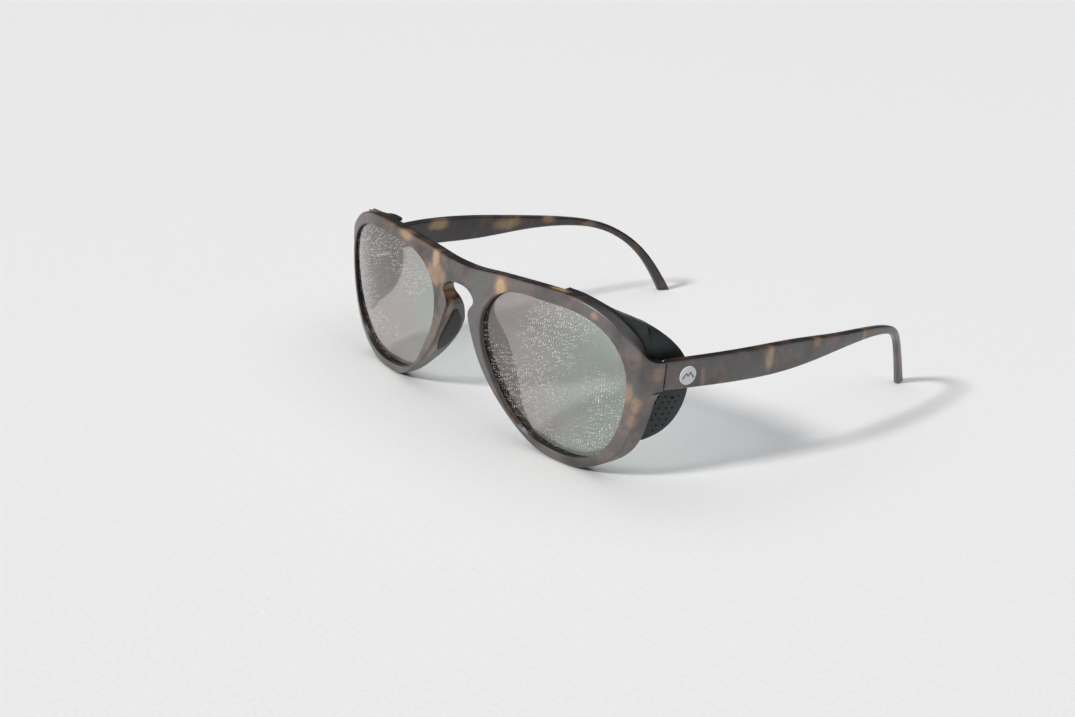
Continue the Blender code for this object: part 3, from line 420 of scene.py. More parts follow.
def rim_section(station):
    """Section of the rim as a ring of points: front face, outer wall, back, then the lens groove."""
    along, z, angle = station
    outer_depth, flare, crest_depth, crest_in = section_at(angle)
    length = math.dist(opening(angle), (along, z))
    ring = [opening_point(angle, outwards, depth) for outwards, depth in reversed(corner(OPENING_RADIUS))]
    ring += [station_point(station, outwards, 0)
             for outwards in between(OPENING_RADIUS, length - FRONT_RADIUS, FACE_POINTS)]
    ring += [station_point(station, length - inwards, depth) for inwards, depth in corner(FRONT_RADIUS)]
    for share in between(0, 1, WALL_POINTS):
        depth = FRONT_RADIUS + share * (outer_depth - BACK_RADIUS - FRONT_RADIUS)
        ring.append(station_point(station, length + flare * share, depth))
    back = [station_point(station, length + flare - inwards, outer_depth - before)
            for before, inwards in corner(BACK_RADIUS)]
    crest = [opening_point(angle, outwards - crest_in, crest_depth - before)
             for outwards, before in corner(CREST_RADIUS)]
    ring += back
    ring += [back[-1].lerp(crest[0], share) for share in between(0, 1, FACE_POINTS)]
    ring += crest
    for outwards, behind in ((0, GROOVE_LIP), (0, 0), (GROOVE_DEPTH, 0)):
        ring.append(groove_point(angle, outwards, LENS_THICKNESS + GROOVE_PLAY + behind))
    for outwards in (GROOVE_DEPTH, 0):
        ring.append(groove_point(angle, outwards, -GROOVE_PLAY))
    return ring


# ---- mesh helpers
def make_object(name, points, faces):
    """An object from points in millimetres, with its faces turned outwards."""
    mesh = bpy.data.meshes.new(name)
    mesh.from_pydata([Vector(point) * MM for point in points], [], faces)
    body = bmesh.new()
    body.from_mesh(mesh)
    bmesh.ops.recalc_face_normals(body, faces=body.faces)
    if body.calc_volume(signed=True) < 0:
        bmesh.ops.reverse_faces(body, faces=body.faces)
    body.to_mesh(mesh)
    body.free()
    thing = bpy.data.objects.new(name, mesh)
    bpy.context.scene.collection.objects.link(thing)
    return thing


def ring_faces(ring_count, ring_size, close_rings):
    """Quads between rings of points that each close on themselves."""
    faces = []
    for i in range(ring_count if close_rings else ring_count - 1):
        after = (i + 1) % ring_count
        for j in range(ring_size):
            beside = (j + 1) % ring_size
            faces.append((i * ring_size + j, i * ring_size + beside,
                          after * ring_size + beside, after * ring_size + j))
    return faces


def loft(name, rings, close_rings=False):
    """A solid through rings of points, capped at both ends unless the rings close."""
    size = len(rings[0])
    faces = ring_faces(len(rings), size, close_rings)
    if not close_rings:
        faces.append(tuple(range(size)))
        faces.append(tuple(range((len(rings) - 1) * size, len(rings) * size)))
    return make_object(name, [point for ring in rings for point in ring], faces)


def turned(name, profile, matrix, segments=48):
    """A solid of revolution about +Z of matrix, from a profile of radius and height pairs."""
    rings = []
    for radius, height in profile:
        turns = [2 * math.pi * k / segments for k in range(segments)]
        rings.append([matrix @ Vector((radius * math.cos(t), radius * math.sin(t), height)) for t in turns])
    return loft(name, rings)


def pin(name, matrix, radius, height, segments=32):
    return turned(name, ((radius, -height / 2), (radius, height / 2)), matrix, segments)


def block(name, low, high, turn=0.0, pivot=(0, 0)):
    """A box between two corners, turned about the vertical line through pivot."""
    corners = [((low, high)[i][0], (low, high)[j][1], (low, high)[k][2])
               for k in (0, 1) for i, j in ((0, 0), (1, 0), (1, 1), (0, 1))]
    around = Matrix.Translation((pivot[0], pivot[1], 0))
    matrix = around @ Matrix.Rotation(math.radians(turn), 4, "Z") @ around.inverted()
    points = [matrix @ Vector(point) for point in corners]
    return loft(name, [points[:4], points[4:]])


def bake(thing):
    """Apply all of an object's modifiers to its mesh."""
    graph = bpy.context.evaluated_depsgraph_get()
    mesh = bpy.data.meshes.new_from_object(thing.evaluated_get(graph))
    thing.modifiers.clear()
    thing.data = mesh
    mesh.name = thing.name


def cut(thing, *cutters):
    """Cut the cutters from thing and remove them."""
    for cutter in cutters:
        modifier = thing.modifiers.new(cutter.name, "BOOLEAN")
        modifier.operation = "DIFFERENCE"
        modifier.object = cutter
        modifier.solver = "EXACT"
        modifier.use_self = False
    bake(thing)
    for cutter in cutters:
        bpy.data.objects.remove(cutter, do_unlink=True)


def mirrored(thing, name):
    """The right-hand twin of a left-hand piece."""
    mesh = thing.data.copy()
    mesh.transform(Matrix.Diagonal((-1, 1, 1, 1)))
    mesh.flip_normals()
    mesh.name = name
    twin = bpy.data.objects.new(name, mesh)
    bpy.context.scene.collection.objects.link(twin)
    return twin


def shade(thing):
    thing.data.shade_smooth()
    thing.data.set_sharp_from_angle(angle=math.radians(SHARP_ANGLE))


# ---- frame front
def hinge_middle():
    return Matrix.Translation((*HINGE_AXIS, HINGE_BOTTOM + HINGE_HEIGHT / 2))


def make_front():
    """Half of the front swept round the lens, cut for its fittings, and its mirror image."""
    front = loft("front", [rim_section(station) for station in outer_edge()], close_rings=True)
    x, y = HINGE_AXIS
    top = HINGE_BOTTOM + HINGE_HEIGHT
    cutters = [
        block("hinge_pocket", (x - LEAF_IN - GAP, y - FRONT_LEAF_LENGTH - GAP, HINGE_BOTTOM - GAP),
              (x - LEAF_IN + LEAF_THICKNESS + GAP, y + 1, top + GAP)),
        pin("hinge_relief", hinge_middle(), KNUCKLE_RADIUS + GAP, HINGE_HEIGHT + 2 * RELIEF),
        pad_solid("pad_recess", PAD_SEAM, PAD_SUNK + GAP, 2.0, 0.0)]
    for number in range(len(MAGNET_ANGLES)):
        spot, axis = magnet_seat(number)
        cutters.append(magnet_pocket(f"magnet_pocket_{number}", spot, axis))
    cut(front, *cutters)
    mirror = front.modifiers.new("mirror", "MIRROR")
    mirror.use_axis = (True, False, False)
    mirror.use_bisect_axis = (True, False, False)
    mirror.merge_threshold = 0.00001
    bake(front)
    return front


# ---- lenses
def make_lens():
    """A lens whose two faces follow the front face, with a bevelled edge in the groove."""
    angles = np.arange(LENS_STEPS) * 360 / LENS_STEPS
    edge = [opening(angle, LENS_INSERT) for angle in angles]
    bevel = 0.3
    shares = [math.sin(math.pi / 2 * k / LENS_RINGS) for k in range(1, LENS_RINGS + 1)]
    layers = [(share, 0.0, 0.0) for share in shares[:-1]] + [(1.0, bevel, 0.0), (1.0, 0.0, bevel)]
    layers += [(share, inset, LENS_THICKNESS - depth) for share, inset, depth in reversed(layers)]
    rings = []
    for share, inset, depth in layers:
        ring = []
        for rim_x, rim_z in edge:
            reach = share - inset / math.dist((rim_x, rim_z), LENS_CENTRE)
            x = LENS_CENTRE[0] + reach * (rim_x - LENS_CENTRE[0])
            z = LENS_CENTRE[1] + reach * (rim_z - LENS_CENTRE[1])
            ring.append((x, face_y(x, z) + lens_depth(x, z) + depth, z))
        rings.append(ring)
    return loft("lens_glass_left", rings)


# ---- nose pads
def bump_point(angle, share, lift):
    """A point on the nose side of the bump: share is 0 at the front of its wall and 1 at the back."""
    edge = np.array(LOWER_EDGE)
    along, z = (float(np.interp(angle, edge[:, 2], edge[:, k])) for k in (0, 1))
    outer_depth, flare = section_at(angle)[:2]
    length = math.dist(opening(angle), (along, z))
    depth = PAD_BACK[0] + share * (outer_depth - PAD_BACK[1])
    return station_point((along, z, angle), length + flare * share + lift, depth)


def pad_solid(name, grow, sunk, proud, crown):
    """A leaf-shaped pad that follows the nose bump, grown all round by grow and crowned outside."""
    first, last = PAD_ANGLES
    grow_angle = grow / BUMP_MM_PER_DEGREE
    tip, spread, power = PAD_TAPER
    layers = []
    for side in (0, 1):
        for i in range(PAD_ROWS):
            t = i / (PAD_ROWS - 1)
            width = PAD_HALF_WIDTH * math.sin(math.pi * (tip + spread * t)) ** power + grow / BUMP_DEPTH
            angle = first - grow_angle + t * (last - first + 2 * grow_angle)
            for j in range(PAD_COLUMNS):
                across = 2 * j / (PAD_COLUMNS - 1) - 1
                dome = (1 - across ** 4) * (1 - (2 * t - 1) ** 4)
                lift = proud + crown * dome - (PAD_SEAM if crown and dome < 0.02 else 0) if side else -sunk
                layers.append(bump_point(angle, PAD_MIDDLE + width * across, lift))
    layer = PAD_ROWS * PAD_COLUMNS
    faces = []
    for start in (0, layer):
        for i in range(PAD_ROWS - 1):
            for j in range(PAD_COLUMNS - 1):
                a = start + i * PAD_COLUMNS + j
                faces.append((a, a + 1, a + PAD_COLUMNS + 1, a + PAD_COLUMNS))
    border = list(range(PAD_COLUMNS))
    border += [i * PAD_COLUMNS + PAD_COLUMNS - 1 for i in range(1, PAD_ROWS)]
    border += [(PAD_ROWS - 1) * PAD_COLUMNS + j for j in range(PAD_COLUMNS - 2, -1, -1)]
    border += [i * PAD_COLUMNS for i in range(PAD_ROWS - 2, 0, -1)]
    for a, b in zip(border, border[1:] + border[:1]):
        faces.append((a, b, b + layer, a + layer))
    return make_object(name, layers, faces)


# ---- temples
def temple_line():
    rows = np.array(TEMPLE_LINE, float)
    return spline_through(chord_knots(rows, 3), rows)


def temple_ring(row, tangent, inset, share):
    """A rounded rectangle across the temple, made smaller all round by inset."""
    forward = Vector(tangent[:3]).normalized()
    side = forward.cross(Vector((0, 0, 1))).normalized()
    up = side.cross(forward)
    half_height, half_width = row[3] / 2 - inset, row[4] / 2 - inset
    radius = TEMPLE_CORNER[0] + (TEMPLE_CORNER[1] - TEMPLE_CORNER[0]) * share - inset / 2
    ring = []
    for sx, sz in ((1, 1), (-1, 1), (-1, -1), (1, -1)):
        quarter = corner(radius)
        if sx * sz < 0:
            quarter = [(b, a) for a, b in quarter]
        for inset_x, inset_z in ([(b, a) for a, b in quarter]):
            offset = side * sx * (half_width - inset_x) + up * sz * (half_height - inset_z)
            ring.append(Vector(row[:3]) + offset)
    return ring, forward


def temple_end(row, tangent, share, axis, level):
    """Rings that round an end of the temple, from its flat face at level inwards."""
    rings = []
    for inwards, behind in corner(TEMPLE_END_RADIUS):
        ring, forward = temple_ring(row, tangent, inwards, share)
        rings.append([point + forward * ((level + behind - point[axis]) / forward[axis]) for point in ring])
    return rings


def make_temple():
    """The left temple, cut flat at the hinge and at the floor, with rounded ends."""
    line = temple_line()
    shares = np.linspace(0, 1, TEMPLE_RINGS)
    rows = line(shares)
    tangents = line(np.clip(shares + 0.001, 0, 1)) - line(np.clip(shares - 0.001, 0, 1))
    front_y = TEMPLE_LINE[0][1]
    rings = temple_end(rows[0], tangents[0], 0, 1, front_y)
    for share, row, tangent in zip(shares, rows, tangents):
        ring = temple_ring(row, tangent, 0, share)[0]
        clear = 2 * TEMPLE_END_RADIUS
        if min(point.y for point in ring) > front_y + clear and min(point.z for point in ring) > clear:
            rings.append(ring)
    rings += reversed(temple_end(rows[-1], tangents[-1], 1, 2, 0.0))
    temple = loft("temple_arm_left", rings)
    x, y = HINGE_AXIS
    top = HINGE_BOTTOM + HINGE_HEIGHT
    recess = disc_matrix() @ Matrix.Translation((0, 0, -(DISC_THICKNESS - DISC_PROUD) / 2 + 1))
    cut(temple,
        block("hinge_pocket", (x - 3, y - 1, HINGE_BOTTOM - GAP),
              (x - LEAF_IN + LEAF_THICKNESS + GAP, y + TEMPLE_LEAF_LENGTH + GAP, top + GAP),
              -TEMPLE_SPLAY, (x, y)),
        pin("hinge_relief", hinge_middle(), KNUCKLE_RADIUS + GAP, HINGE_HEIGHT + 2 * RELIEF),
        pin("disc_recess", recess, DISC_RADIUS + DISC_SEAM, DISC_THICKNESS - DISC_PROUD + 2, 64))
    return temple


def disc_matrix():
    """The middle of the disc's place on the outer face of the temple, +Z pointing out of it."""
    line = temple_line()
    shares = np.linspace(0, 0.5, 400)
    rows = line(shares)
    i = int(np.argmin(abs(rows[:, 1] - DISC_Y)))
    forward = Vector(rows[i + 1, :3] - rows[i - 1, :3]).normalized()
    side = forward.cross(Vector((0, 0, 1))).normalized()
    spot = Vector((*rows[i, :2], DISC_Z)) + side * (rows[i, 4] / 2)
    up = Vector((0, 0, 1)) - side * side.z
    matrix = Matrix((side.cross(up) * -1, up, side)).transposed().to_4x4()
    return Matrix.Translation(spot) @ matrix


def make_disc():
    """The round inlay on the temple, with a chamfered edge."""
    low, high, edge = DISC_PROUD - DISC_THICKNESS, DISC_PROUD, 0.1
    profile = [(DISC_RADIUS, low), (DISC_RADIUS, high - edge), (DISC_RADIUS - edge, high)]
    for share in (0.8, 0.6, 0.4, 0.2, 0.02):
        profile.append((DISC_RADIUS * share, high + DISC_CROWN * (1 - share ** 2)))
    return turned("temple_inlay_left", profile, disc_matrix(), 64)


def make_motif():
    """A plain outline of hills, raised a little from the inlay."""
    matrix = disc_matrix()
    points = [Vector((x, z)) for x, z in MOTIF_LINE]
    above, below = [], []
    for i, point in enumerate(points):
        before = (point - points[max(i - 1, 0)]).normalized()
        after = (points[min(i + 1, len(points) - 1)] - point).normalized()
        along = (before + after).normalized()
        across = Vector((-along.y, along.x))
        cosines = [across.dot(Vector((-line.y, line.x))) for line in (after, before)]
        mitre = MOTIF_WIDTH / 2 / max(cosines)
        above.append(point + across * mitre)
        below.append(point - across * mitre)
    outline = above + below[::-1]
    rings = [[matrix @ Vector((point.x, point.y, height)) for point in outline]
             for height in (DISC_PROUD - 0.1, DISC_PROUD + DISC_CROWN + MOTIF_PROUD)]
    return loft("temple_motif_left", rings)


def make_screw():
    """The hinge screw: a plain shank and a domed head with a slot."""
    x, y = HINGE_AXIS
    top = HINGE_BOTTOM + HINGE_HEIGHT + SCREW_PROUD
    foot = HINGE_BOTTOM - SCREW_PROUD
    profile = [(SCREW_RADIUS - SCREW_CHAMFER, foot), (SCREW_RADIUS, foot + SCREW_CHAMFER),
               (SCREW_RADIUS, top), (SCREW_HEAD_RADIUS, top)]
    steps = 6
    for k in range(steps + 1):
        turn = math.pi / 2 * k / steps * 0.96
        profile.append((SCREW_HEAD_RADIUS * math.cos(turn),
                        top + SCREW_RIM + (SCREW_HEAD_HEIGHT - SCREW_RIM) * math.sin(turn)))
    screw = turned("hinge_pin_left", profile, Matrix.Translation((x, y, 0)), 40)
    low, high = (x - 2, y - SLOT_HALF, top + SLOT_FLOOR), (x + 2, y + SLOT_HALF, top + 2)
    cut(screw, block("slot", low, high, 35, (x, y)))
    return screw


# ---- side shields
def rail_point(outer, angle, share, depth):
    """A point of the rail: share runs from its inner edge to its outer edge."""
    over_lens = RAIL_OVER_LENS * smoothstep((30 - abs(angle - 8)) / 12)
    inner = np.array(opening(angle, RAIL_INNER - over_lens))
    x, z = inner * (1 - share) + np.array(outer) * share
    back = section_at(angle)[2] + RAIL_GAP + depth + RAIL_STEP * smoothstep((x - RAIL_STEP_X) / 2)
    return Vector((x, face_y(x, z) + back, z))


def hood_surface():
    """Outer surface of the hood as rows of points, from the rail's outer edge to the back edge."""
    knots = np.arange(len(RAIL_EDGE), dtype=float)
    where = np.linspace(0, knots[-1], HOOD_ROWS)
    edge, crease, back = (spline_through(knots, np.array(table, float))(where)
                          for table in (RAIL_EDGE, HOOD_CREASE, HOOD_BACK))
    grid = []
    for (x, z, angle), fold, end in zip(edge, crease, back):
        start = np.array(rail_point((x, z), angle, 1, 0))
        outwards = np.array((x - HOOD_CENTRE[0], 0, z - HOOD_CENTRE[1]))
        outwards /= np.linalg.norm(outwards)
        row = [start + (fold - start) * k / BAND_COLUMNS for k in range(BAND_COLUMNS)]
        reach = min(np.linalg.norm(end - fold) / HOLE_PITCH[0], 1)
        for k in range(WING_COLUMNS + 1):
            share = k / WING_COLUMNS
            swell = HOOD_BULGE * reach * 4 * share * (1 - share)
            row.append(fold + (end - fold) * share + outwards * swell)
        grid.append(row)
    return edge, np.array(grid)


def outward_normals(grid):
    """Unit normals of a grid of points, facing away from the middle of the lens."""
    across = np.gradient(grid, axis=1)
    along = np.gradient(grid, axis=0)
    normals = np.cross(across, along)
    normals /= np.linalg.norm(normals, axis=2)[:, :, None]
    away = grid - np.array((HOOD_CENTRE[0], 0, HOOD_CENTRE[1]))
    flip = np.sign(away[:, :, 0] * normals[:, :, 0] + away[:, :, 2] * normals[:, :, 2])
    return normals * flip[:, :, None]


def make_shield():
    """Rail and hood in one sheet, with ventilation holes and a notch round the hinge."""
    edge, outer = hood_surface()
    inner = outer - outward_normals(outer) * HOOD_THICKNESS
    rings = []
    for (x, z, angle), out_row, in_row in zip(edge, outer, inner):
        step = out_row[-1] - out_row[-2]
        step /= np.linalg.norm(step)
        tip = (out_row[-1] + in_row[-1]) / 2
        ring = list(out_row[:-1])
        for turn in range(7):
            angle_round = math.pi * turn / 6
            half = (out_row[-1] - in_row[-1]) / 2
            behind = step * HOOD_THICKNESS / 2 * (1 - math.sin(angle_round))
            ring.append(tip + half * math.cos(angle_round) - behind)
        lowest = out_row[0][1] + RAIL_THICKNESS
        for point in in_row[-2:1:-1]:
            ring.append(np.array((point[0], max(point[1], lowest), point[2])))
        for share in (0.55, 0.3, 0.06):
            ring.append(np.array(rail_point((x, z), angle, share, RAIL_THICKNESS)))
        ring.append(np.array(rail_point((x, z), angle, 0, RAIL_THICKNESS - 0.3)))
        for share in (0, 0.5):
            ring.append(np.array(rail_point((x, z), angle, share, 0)))
        rings.append(ring)
    shield = loft("shield_hood_left", rings)
    cutters = [block("notch", NOTCH_LOW, NOTCH_HIGH)]
    for number, (y, z) in enumerate(hole_places()):
        matrix = Matrix.Translation((FOLD_POINT[0] + 1, y, z)) @ Matrix.Rotation(math.pi / 2, 4, "Y")
        cutters.append(pin(f"hole_{number}", matrix, HOLE_RADIUS, 4.0, 14))
    for number in range(len(MAGNET_ANGLES)):
        spot, axis = magnet_seat(number, rail=True)
        cutters.append(magnet_pocket(f"rail_pocket_{number}", spot, axis))
    cut(shield, *cutters)
    return shield


def hole_places():
    """Centres of the ventilation holes: slanting rows, clear of the fold and of the back edge."""
    back = np.array(HOOD_BACK)[9:]
    places = []
    for row in range(HOLE_ROWS):
        for column in range(-6, 7):
            y = HOLE_START - HOLE_DRIFT * row + HOLE_PITCH[0] * column
            z = HOLE_TOP - HOLE_PITCH[1] * row - HOLE_FALL * (y + 54)
            limit = float(np.interp(z, back[::-1, 2], back[::-1, 1])) - HOLE_MARGIN[1]
            if FRONT_END_Y + HOLE_MARGIN[0] < y < limit:
                places.append((y, z))
    return places


def magnet_seat(number, rail=False):
    """Where a magnet's flush face lies, and the direction from that face into its part."""
    angle = MAGNET_ANGLES[number]
    edge = np.array(TOP_EDGE)
    along, z = (float(np.interp(angle, edge[:, 2], edge[:, k])) for k in (0, 1))
    length = math.dist(opening(angle), (along, z))
    inner = np.array(opening(angle))
    x, height = inner + (np.array((along, z)) - inner) / length * (length - MAGNET_INSETS[number])
    spot = Vector((x, face_y(x, height) + section_at(angle)[2], height))
    step = 0.1
    across = Vector((step, face_y(x + step, height) - face_y(x, height), 0))
    upwards = Vector((0, face_y(x, height + step) - face_y(x, height), step))
    back = upwards.cross(across).normalized()
    if back.y < 0:
        back.negate()
    if rail:
        return spot + back * RAIL_GAP, back
    return spot, -back


def magnet_pocket(name, spot, axis):
    deep = MAGNET_THICKNESS + POCKET_FLOOR
    middle = spot + axis * (deep - POCKET_MOUTH) / 2
    matrix = Matrix.Translation(middle) @ axis.to_track_quat("Z", "Y").to_matrix().to_4x4()
    return pin(name, matrix, MAGNET_RADIUS + POCKET_PLAY, deep + POCKET_MOUTH)


# ---- material helpers
def new_material(name):
    material = bpy.data.materials.new(name)
    material.use_nodes = True
    tree = material.node_tree
    return material, tree, tree.nodes["Principled BSDF"]


def add(tree, kind, inputs=None, **settings):
    """A new node; an input that is given a socket is linked to it, and any other is set."""
    node = tree.nodes.new("ShaderNode" + kind)
    for name, value in settings.items():
        setattr(node, name, value)
    for key, value in (inputs or {}).items():
        if isinstance(value, bpy.types.NodeSocket):
            tree.links.new(value, node.inputs[key])
        else:
            node.inputs[key].default_value = value
    return node


def math_node(tree, operation, *values):
    return add(tree, "Math", dict(enumerate(values)), operation=operation).outputs[0]


def times(tree, first, second):
    return math_node(tree, "MULTIPLY", first, second)


def minus(tree, first, second):
    return math_node(tree, "SUBTRACT", first, second)


def larger(tree, first, second):
    return math_node(tree, "MAXIMUM", first, second)


def vector_node(tree, operation, *values):
    node = add(tree, "VectorMath", dict(enumerate(values)), operation=operation)
    return node.outputs["Value" if operation in ("LENGTH", "DISTANCE") else "Vector"]


def scaled(tree, vector, amount):
    node = add(tree, "VectorMath", {0: vector, "Scale": amount}, operation="SCALE")
    return node.outputs["Vector"]


def axes(tree, vector):
    """The X, Y and Z of a vector, as three sockets."""
    return add(tree, "SeparateXYZ", {0: vector}).outputs


def own_normal(tree):
    """The X, Y and Z of the surface's normal in the object's own space."""
    return axes(tree, add(tree, "TexCoord").outputs["Normal"])


def step_between(tree, value, low, high):
    """0 below low and 1 above high, smoothly."""
    inputs = {"Value": value, "From Min": low, "From Max": high}
    return add(tree, "MapRange", inputs, interpolation_type="SMOOTHSTEP").outputs["Result"]


def spread(tree, value, low, high):
    """A value between 0 and 1 spread from low to high."""
    inputs = {"Value": value, "To Min": low, "To Max": high}
    return add(tree, "MapRange", inputs).outputs["Result"]


def noise(tree, point, scale, detail=3.0, roughness=0.5, colour=False):
    """Noise with scale in features per millimetre."""
    inputs = {"Vector": point, "Scale": scale, "Detail": detail, "Roughness": roughness}
    return add(tree, "TexNoise", inputs).outputs["Color" if colour else "Fac"]


def ramp(tree, value, *stops):
    """A colour ramp through stops of position and RGB colour."""
    node = add(tree, "ValToRGB", {"Fac": value})
    elements = node.color_ramp.elements
    while len(elements) < len(stops):
        elements.new(0.5)
    for element, (position, colour) in zip(elements, stops):
        element.position = position
        element.color = (*colour, 1)
    return node.outputs["Color"]


def blend_colours(tree, share, first, second):
    node = add(tree, "Mix")
    node.data_type = "RGBA"
    for name, value in (("Factor", share), ("A", first), ("B", second)):
        socket = next(s for s in node.inputs if s.name == name and s.enabled)
        if isinstance(value, bpy.types.NodeSocket):
            tree.links.new(value, socket)
        else:
            socket.default_value = value if name == "Factor" else (*value, 1)
    return next(s for s in node.outputs if s.enabled)


def millimetres(tree):
    """The object's own coordinates in millimetres."""
    return scaled(tree, add(tree, "TexCoord").outputs["Object"], PER_MM)


def bump(tree, shader, height, distance, strength=1.0):
    """Relief on a shader, with distance in millimetres."""
    inputs = {"Height": height, "Distance": distance * MM, "Strength": strength}
    tree.links.new(add(tree, "Bump", inputs).outputs["Normal"], shader.inputs["Normal"])


def link(tree, socket, shader, name):
    tree.links.new(socket, shader.inputs[name])


def set_sockets(shader, values):
    for name, value in values.items():
        shader.inputs[name].default_value = value


# ---- materials
def blasted_and_sheen_share(tree, point):
    """1 on the blasted front and outer faces and 0 on the polished edges, tops and inner faces: it makes
    them rougher and marks where a painted sheen, standing for reflected floor light, lightens the base
    colour.
    """
    normal = own_normal(tree)
    side = math_node(tree, "SIGN", axes(tree, point)[0])
    outwards = times(tree, normal[0], side)
    forwards = times(tree, normal[1], -1.0)
    return step_between(tree, larger(tree, outwards, forwards), 0.45, 0.85)


def amber_share(tree, point):
    """How amber the tortoiseshell is: soft patches at set places and a few stray ones."""
    amber = times(tree, step_between(tree, noise(tree, point, STRAY_SCALE, 2.0, 0.4), 0.64, 0.74), 0.6)
    for centre, radii, share in AMBER_PATCHES:
        offset = vector_node(tree, "SUBTRACT", point, centre)
        distance = vector_node(tree, "LENGTH", vector_node(tree, "DIVIDE", offset, radii))
        patch = step_between(tree, minus(tree, 2.0, distance), *PATCH_EDGE)
        amber = larger(tree, amber, times(tree, patch, share))
    streaks = times(tree, minus(tree, noise(tree, point, STREAK_SCALE, 3.0, 0.6), 0.5), 0.5)
    return math_node(tree, "ADD", amber, times(tree, streaks, amber))


def tortoise():
    """Matt tortoiseshell: near-black brown with red-brown mottles and soft amber patches, with a grey haze
    painted on the front and outer faces, partly the blasted finish and partly painted sheen from the bright
    floor.
    """
    material, tree, shader = new_material("tortoise")
    point = millimetres(tree)
    drift = noise(tree, point, WARP_SCALE, 3.0, 0.55, colour=True)
    centred = vector_node(tree, "SUBTRACT", drift, (0.5, 0.5, 0.5))
    warped = vector_node(tree, "ADD", point, scaled(tree, centred, WARP))

    mottle = noise(tree, warped, MOTTLE_SCALE, 4.0, 0.6)
    base = ramp(tree, mottle, (0.42, BLACK_BROWN), (0.54, DARK_BROWN), (0.62, RED_BROWN),
                (0.74, DARK_BROWN))
    amber = amber_share(tree, warped)
    glow = ramp(tree, amber, (0.30, RED_BROWN), (0.60, AMBER), (0.95, TAN))
    pattern = blend_colours(tree, step_between(tree, amber, 0.0, 0.45), base, glow)

    # The front and outer faces get rougher and get a painted sheen: grey haze in the base colour, partly the
    # blasted finish and partly reflected floor light painted in.
    blasted_and_sheen = blasted_and_sheen_share(tree, point)
    cloud = step_between(tree, noise(tree, point, CLOUD_SCALE, 4.0, 0.6), 0.15, 0.62)
    haze = scaled(tree, HAZE_AND_PAINTED_SHEEN, times(tree, blasted_and_sheen, cloud))
    link(tree, vector_node(tree, "ADD", pattern, haze), shader, "Base Color")

    wear = spread(tree, noise(tree, point, 0.4, 3.0), *POLISHED_ROUGHNESS)
    rough = math_node(tree, "ADD", wear, times(tree, blasted_and_sheen, BLASTED_EXTRA))
    link(tree, rough, shader, "Roughness")
    bump(tree, shader, noise(tree, point, GRAIN_SCALE, 2.0, 0.6), GRAIN_DEPTH)
    set_sockets(shader, {"IOR": 1.5, "Specular IOR Level": 0.45, "Coat Weight": 0.3,
                         "Coat IOR": 1.8, "Coat Roughness": 0.3})
    return material


def frost_share(tree, point):
    """Ice grains and a fine dusting on the outer face of a lens."""
    place_at = axes(tree, point)
    flat = add(tree, "CombineXYZ", {0: place_at[0], 1: place_at[2]}).outputs[0]
    inputs = {"Vector": flat, "Scale": FROST_DENSITY}
    cells = add(tree, "TexVoronoi", inputs, voronoi_dimensions="2D").outputs
    dot = step_between(tree, minus(tree, 1.0, cells["Distance"]), 0.66, 0.84)
    chance = add(tree, "SeparateColor", {0: cells["Color"]}).outputs[0]
    grains = times(tree, dot, step_between(tree, chance, 0.25, 0.95))
    fine = step_between(tree, noise(tree, flat, FROST_FINE_SCALE, 1.0, 0.5), 0.50, 0.72)
    both = larger(tree, grains, times(tree, fine, 0.12))
    drifted = step_between(tree, noise(tree, point, FROST_DRIFT_SCALE, 2.0), 0.25, 0.60)
    outer = step_between(tree, times(tree, own_normal(tree)[1], -1.0), 0.6, 0.9)
    return times(tree, times(tree, both, larger(tree, drifted, 0.35)), outer)


def sun_lens():
    """Green-grey tinted glass with a faint mirror coat and frost, and a painted rose-grey reflection across
    each lens; lamps shine through.
    """
    material, tree, shader = new_material("sun_lens")
    point = millimetres(tree)
    # Painted reflection: the base colour runs across each lens from rose-grey, a painted reflection, through
    # grey to the green tint of the glass.
    shifted = math_node(tree, "ADD", axes(tree, point)[0], LENS_SPAN)
    across = math_node(tree, "FRACT", math_node(tree, "DIVIDE", shifted, LENS_SPAN))
    tint_and_painted_reflection = ramp(tree, across, (0.25, PAINTED_ROSE_REFLECTION), (0.5, LENS_GREY), (0.8, LENS_GREEN))
    frost = frost_share(tree, point)
    link(tree, blend_colours(tree, frost, tint_and_painted_reflection, FROST), shader, "Base Color")
    clear = minus(tree, 1.0, times(tree, frost, 0.8))
    link(tree, clear, shader, "Transmission Weight")
    haze = spread(tree, noise(tree, point, 1.2, 4.0, 0.7), 0.02, 0.09)
    link(tree, larger(tree, haze, times(tree, frost, 0.5)), shader, "Roughness")
    set_sockets(shader, {"IOR": 1.6, "Coat Weight": 0.6, "Coat IOR": 1.9, "Coat Roughness": 0.06,
                         "Coat Tint": (*COAT_PINK, 1)})
    lamp = add(tree, "BsdfTransparent", {"Color": (*LENS_SHADE, 1)})
    share = add(tree, "LightPath").outputs["Is Shadow Ray"]
    inputs = {0: share, 1: shader.outputs[0], 2: lamp.outputs[0]}
    mixed = add(tree, "MixShader", inputs)
    tree.links.new(mixed.outputs[0], tree.nodes["Material Output"].inputs["Surface"])
    return material


def moulded(name, dark, light, roughness, grain_size, grain_depth):
    """Matt moulded plastic or rubber with a fine even grain."""
    material, tree, shader = new_material(name)
    point = millimetres(tree)
    link(tree, ramp(tree, noise(tree, point, 0.12, 3.0), (0.35, dark), (0.65, light)), shader, "Base Color")
    rough = spread(tree, noise(tree, point, 0.5, 3.0), roughness - 0.05, roughness + 0.05)
    link(tree, rough, shader, "Roughness")
    bump(tree, shader, noise(tree, point, 1 / grain_size, 2.0), grain_depth)
    return material


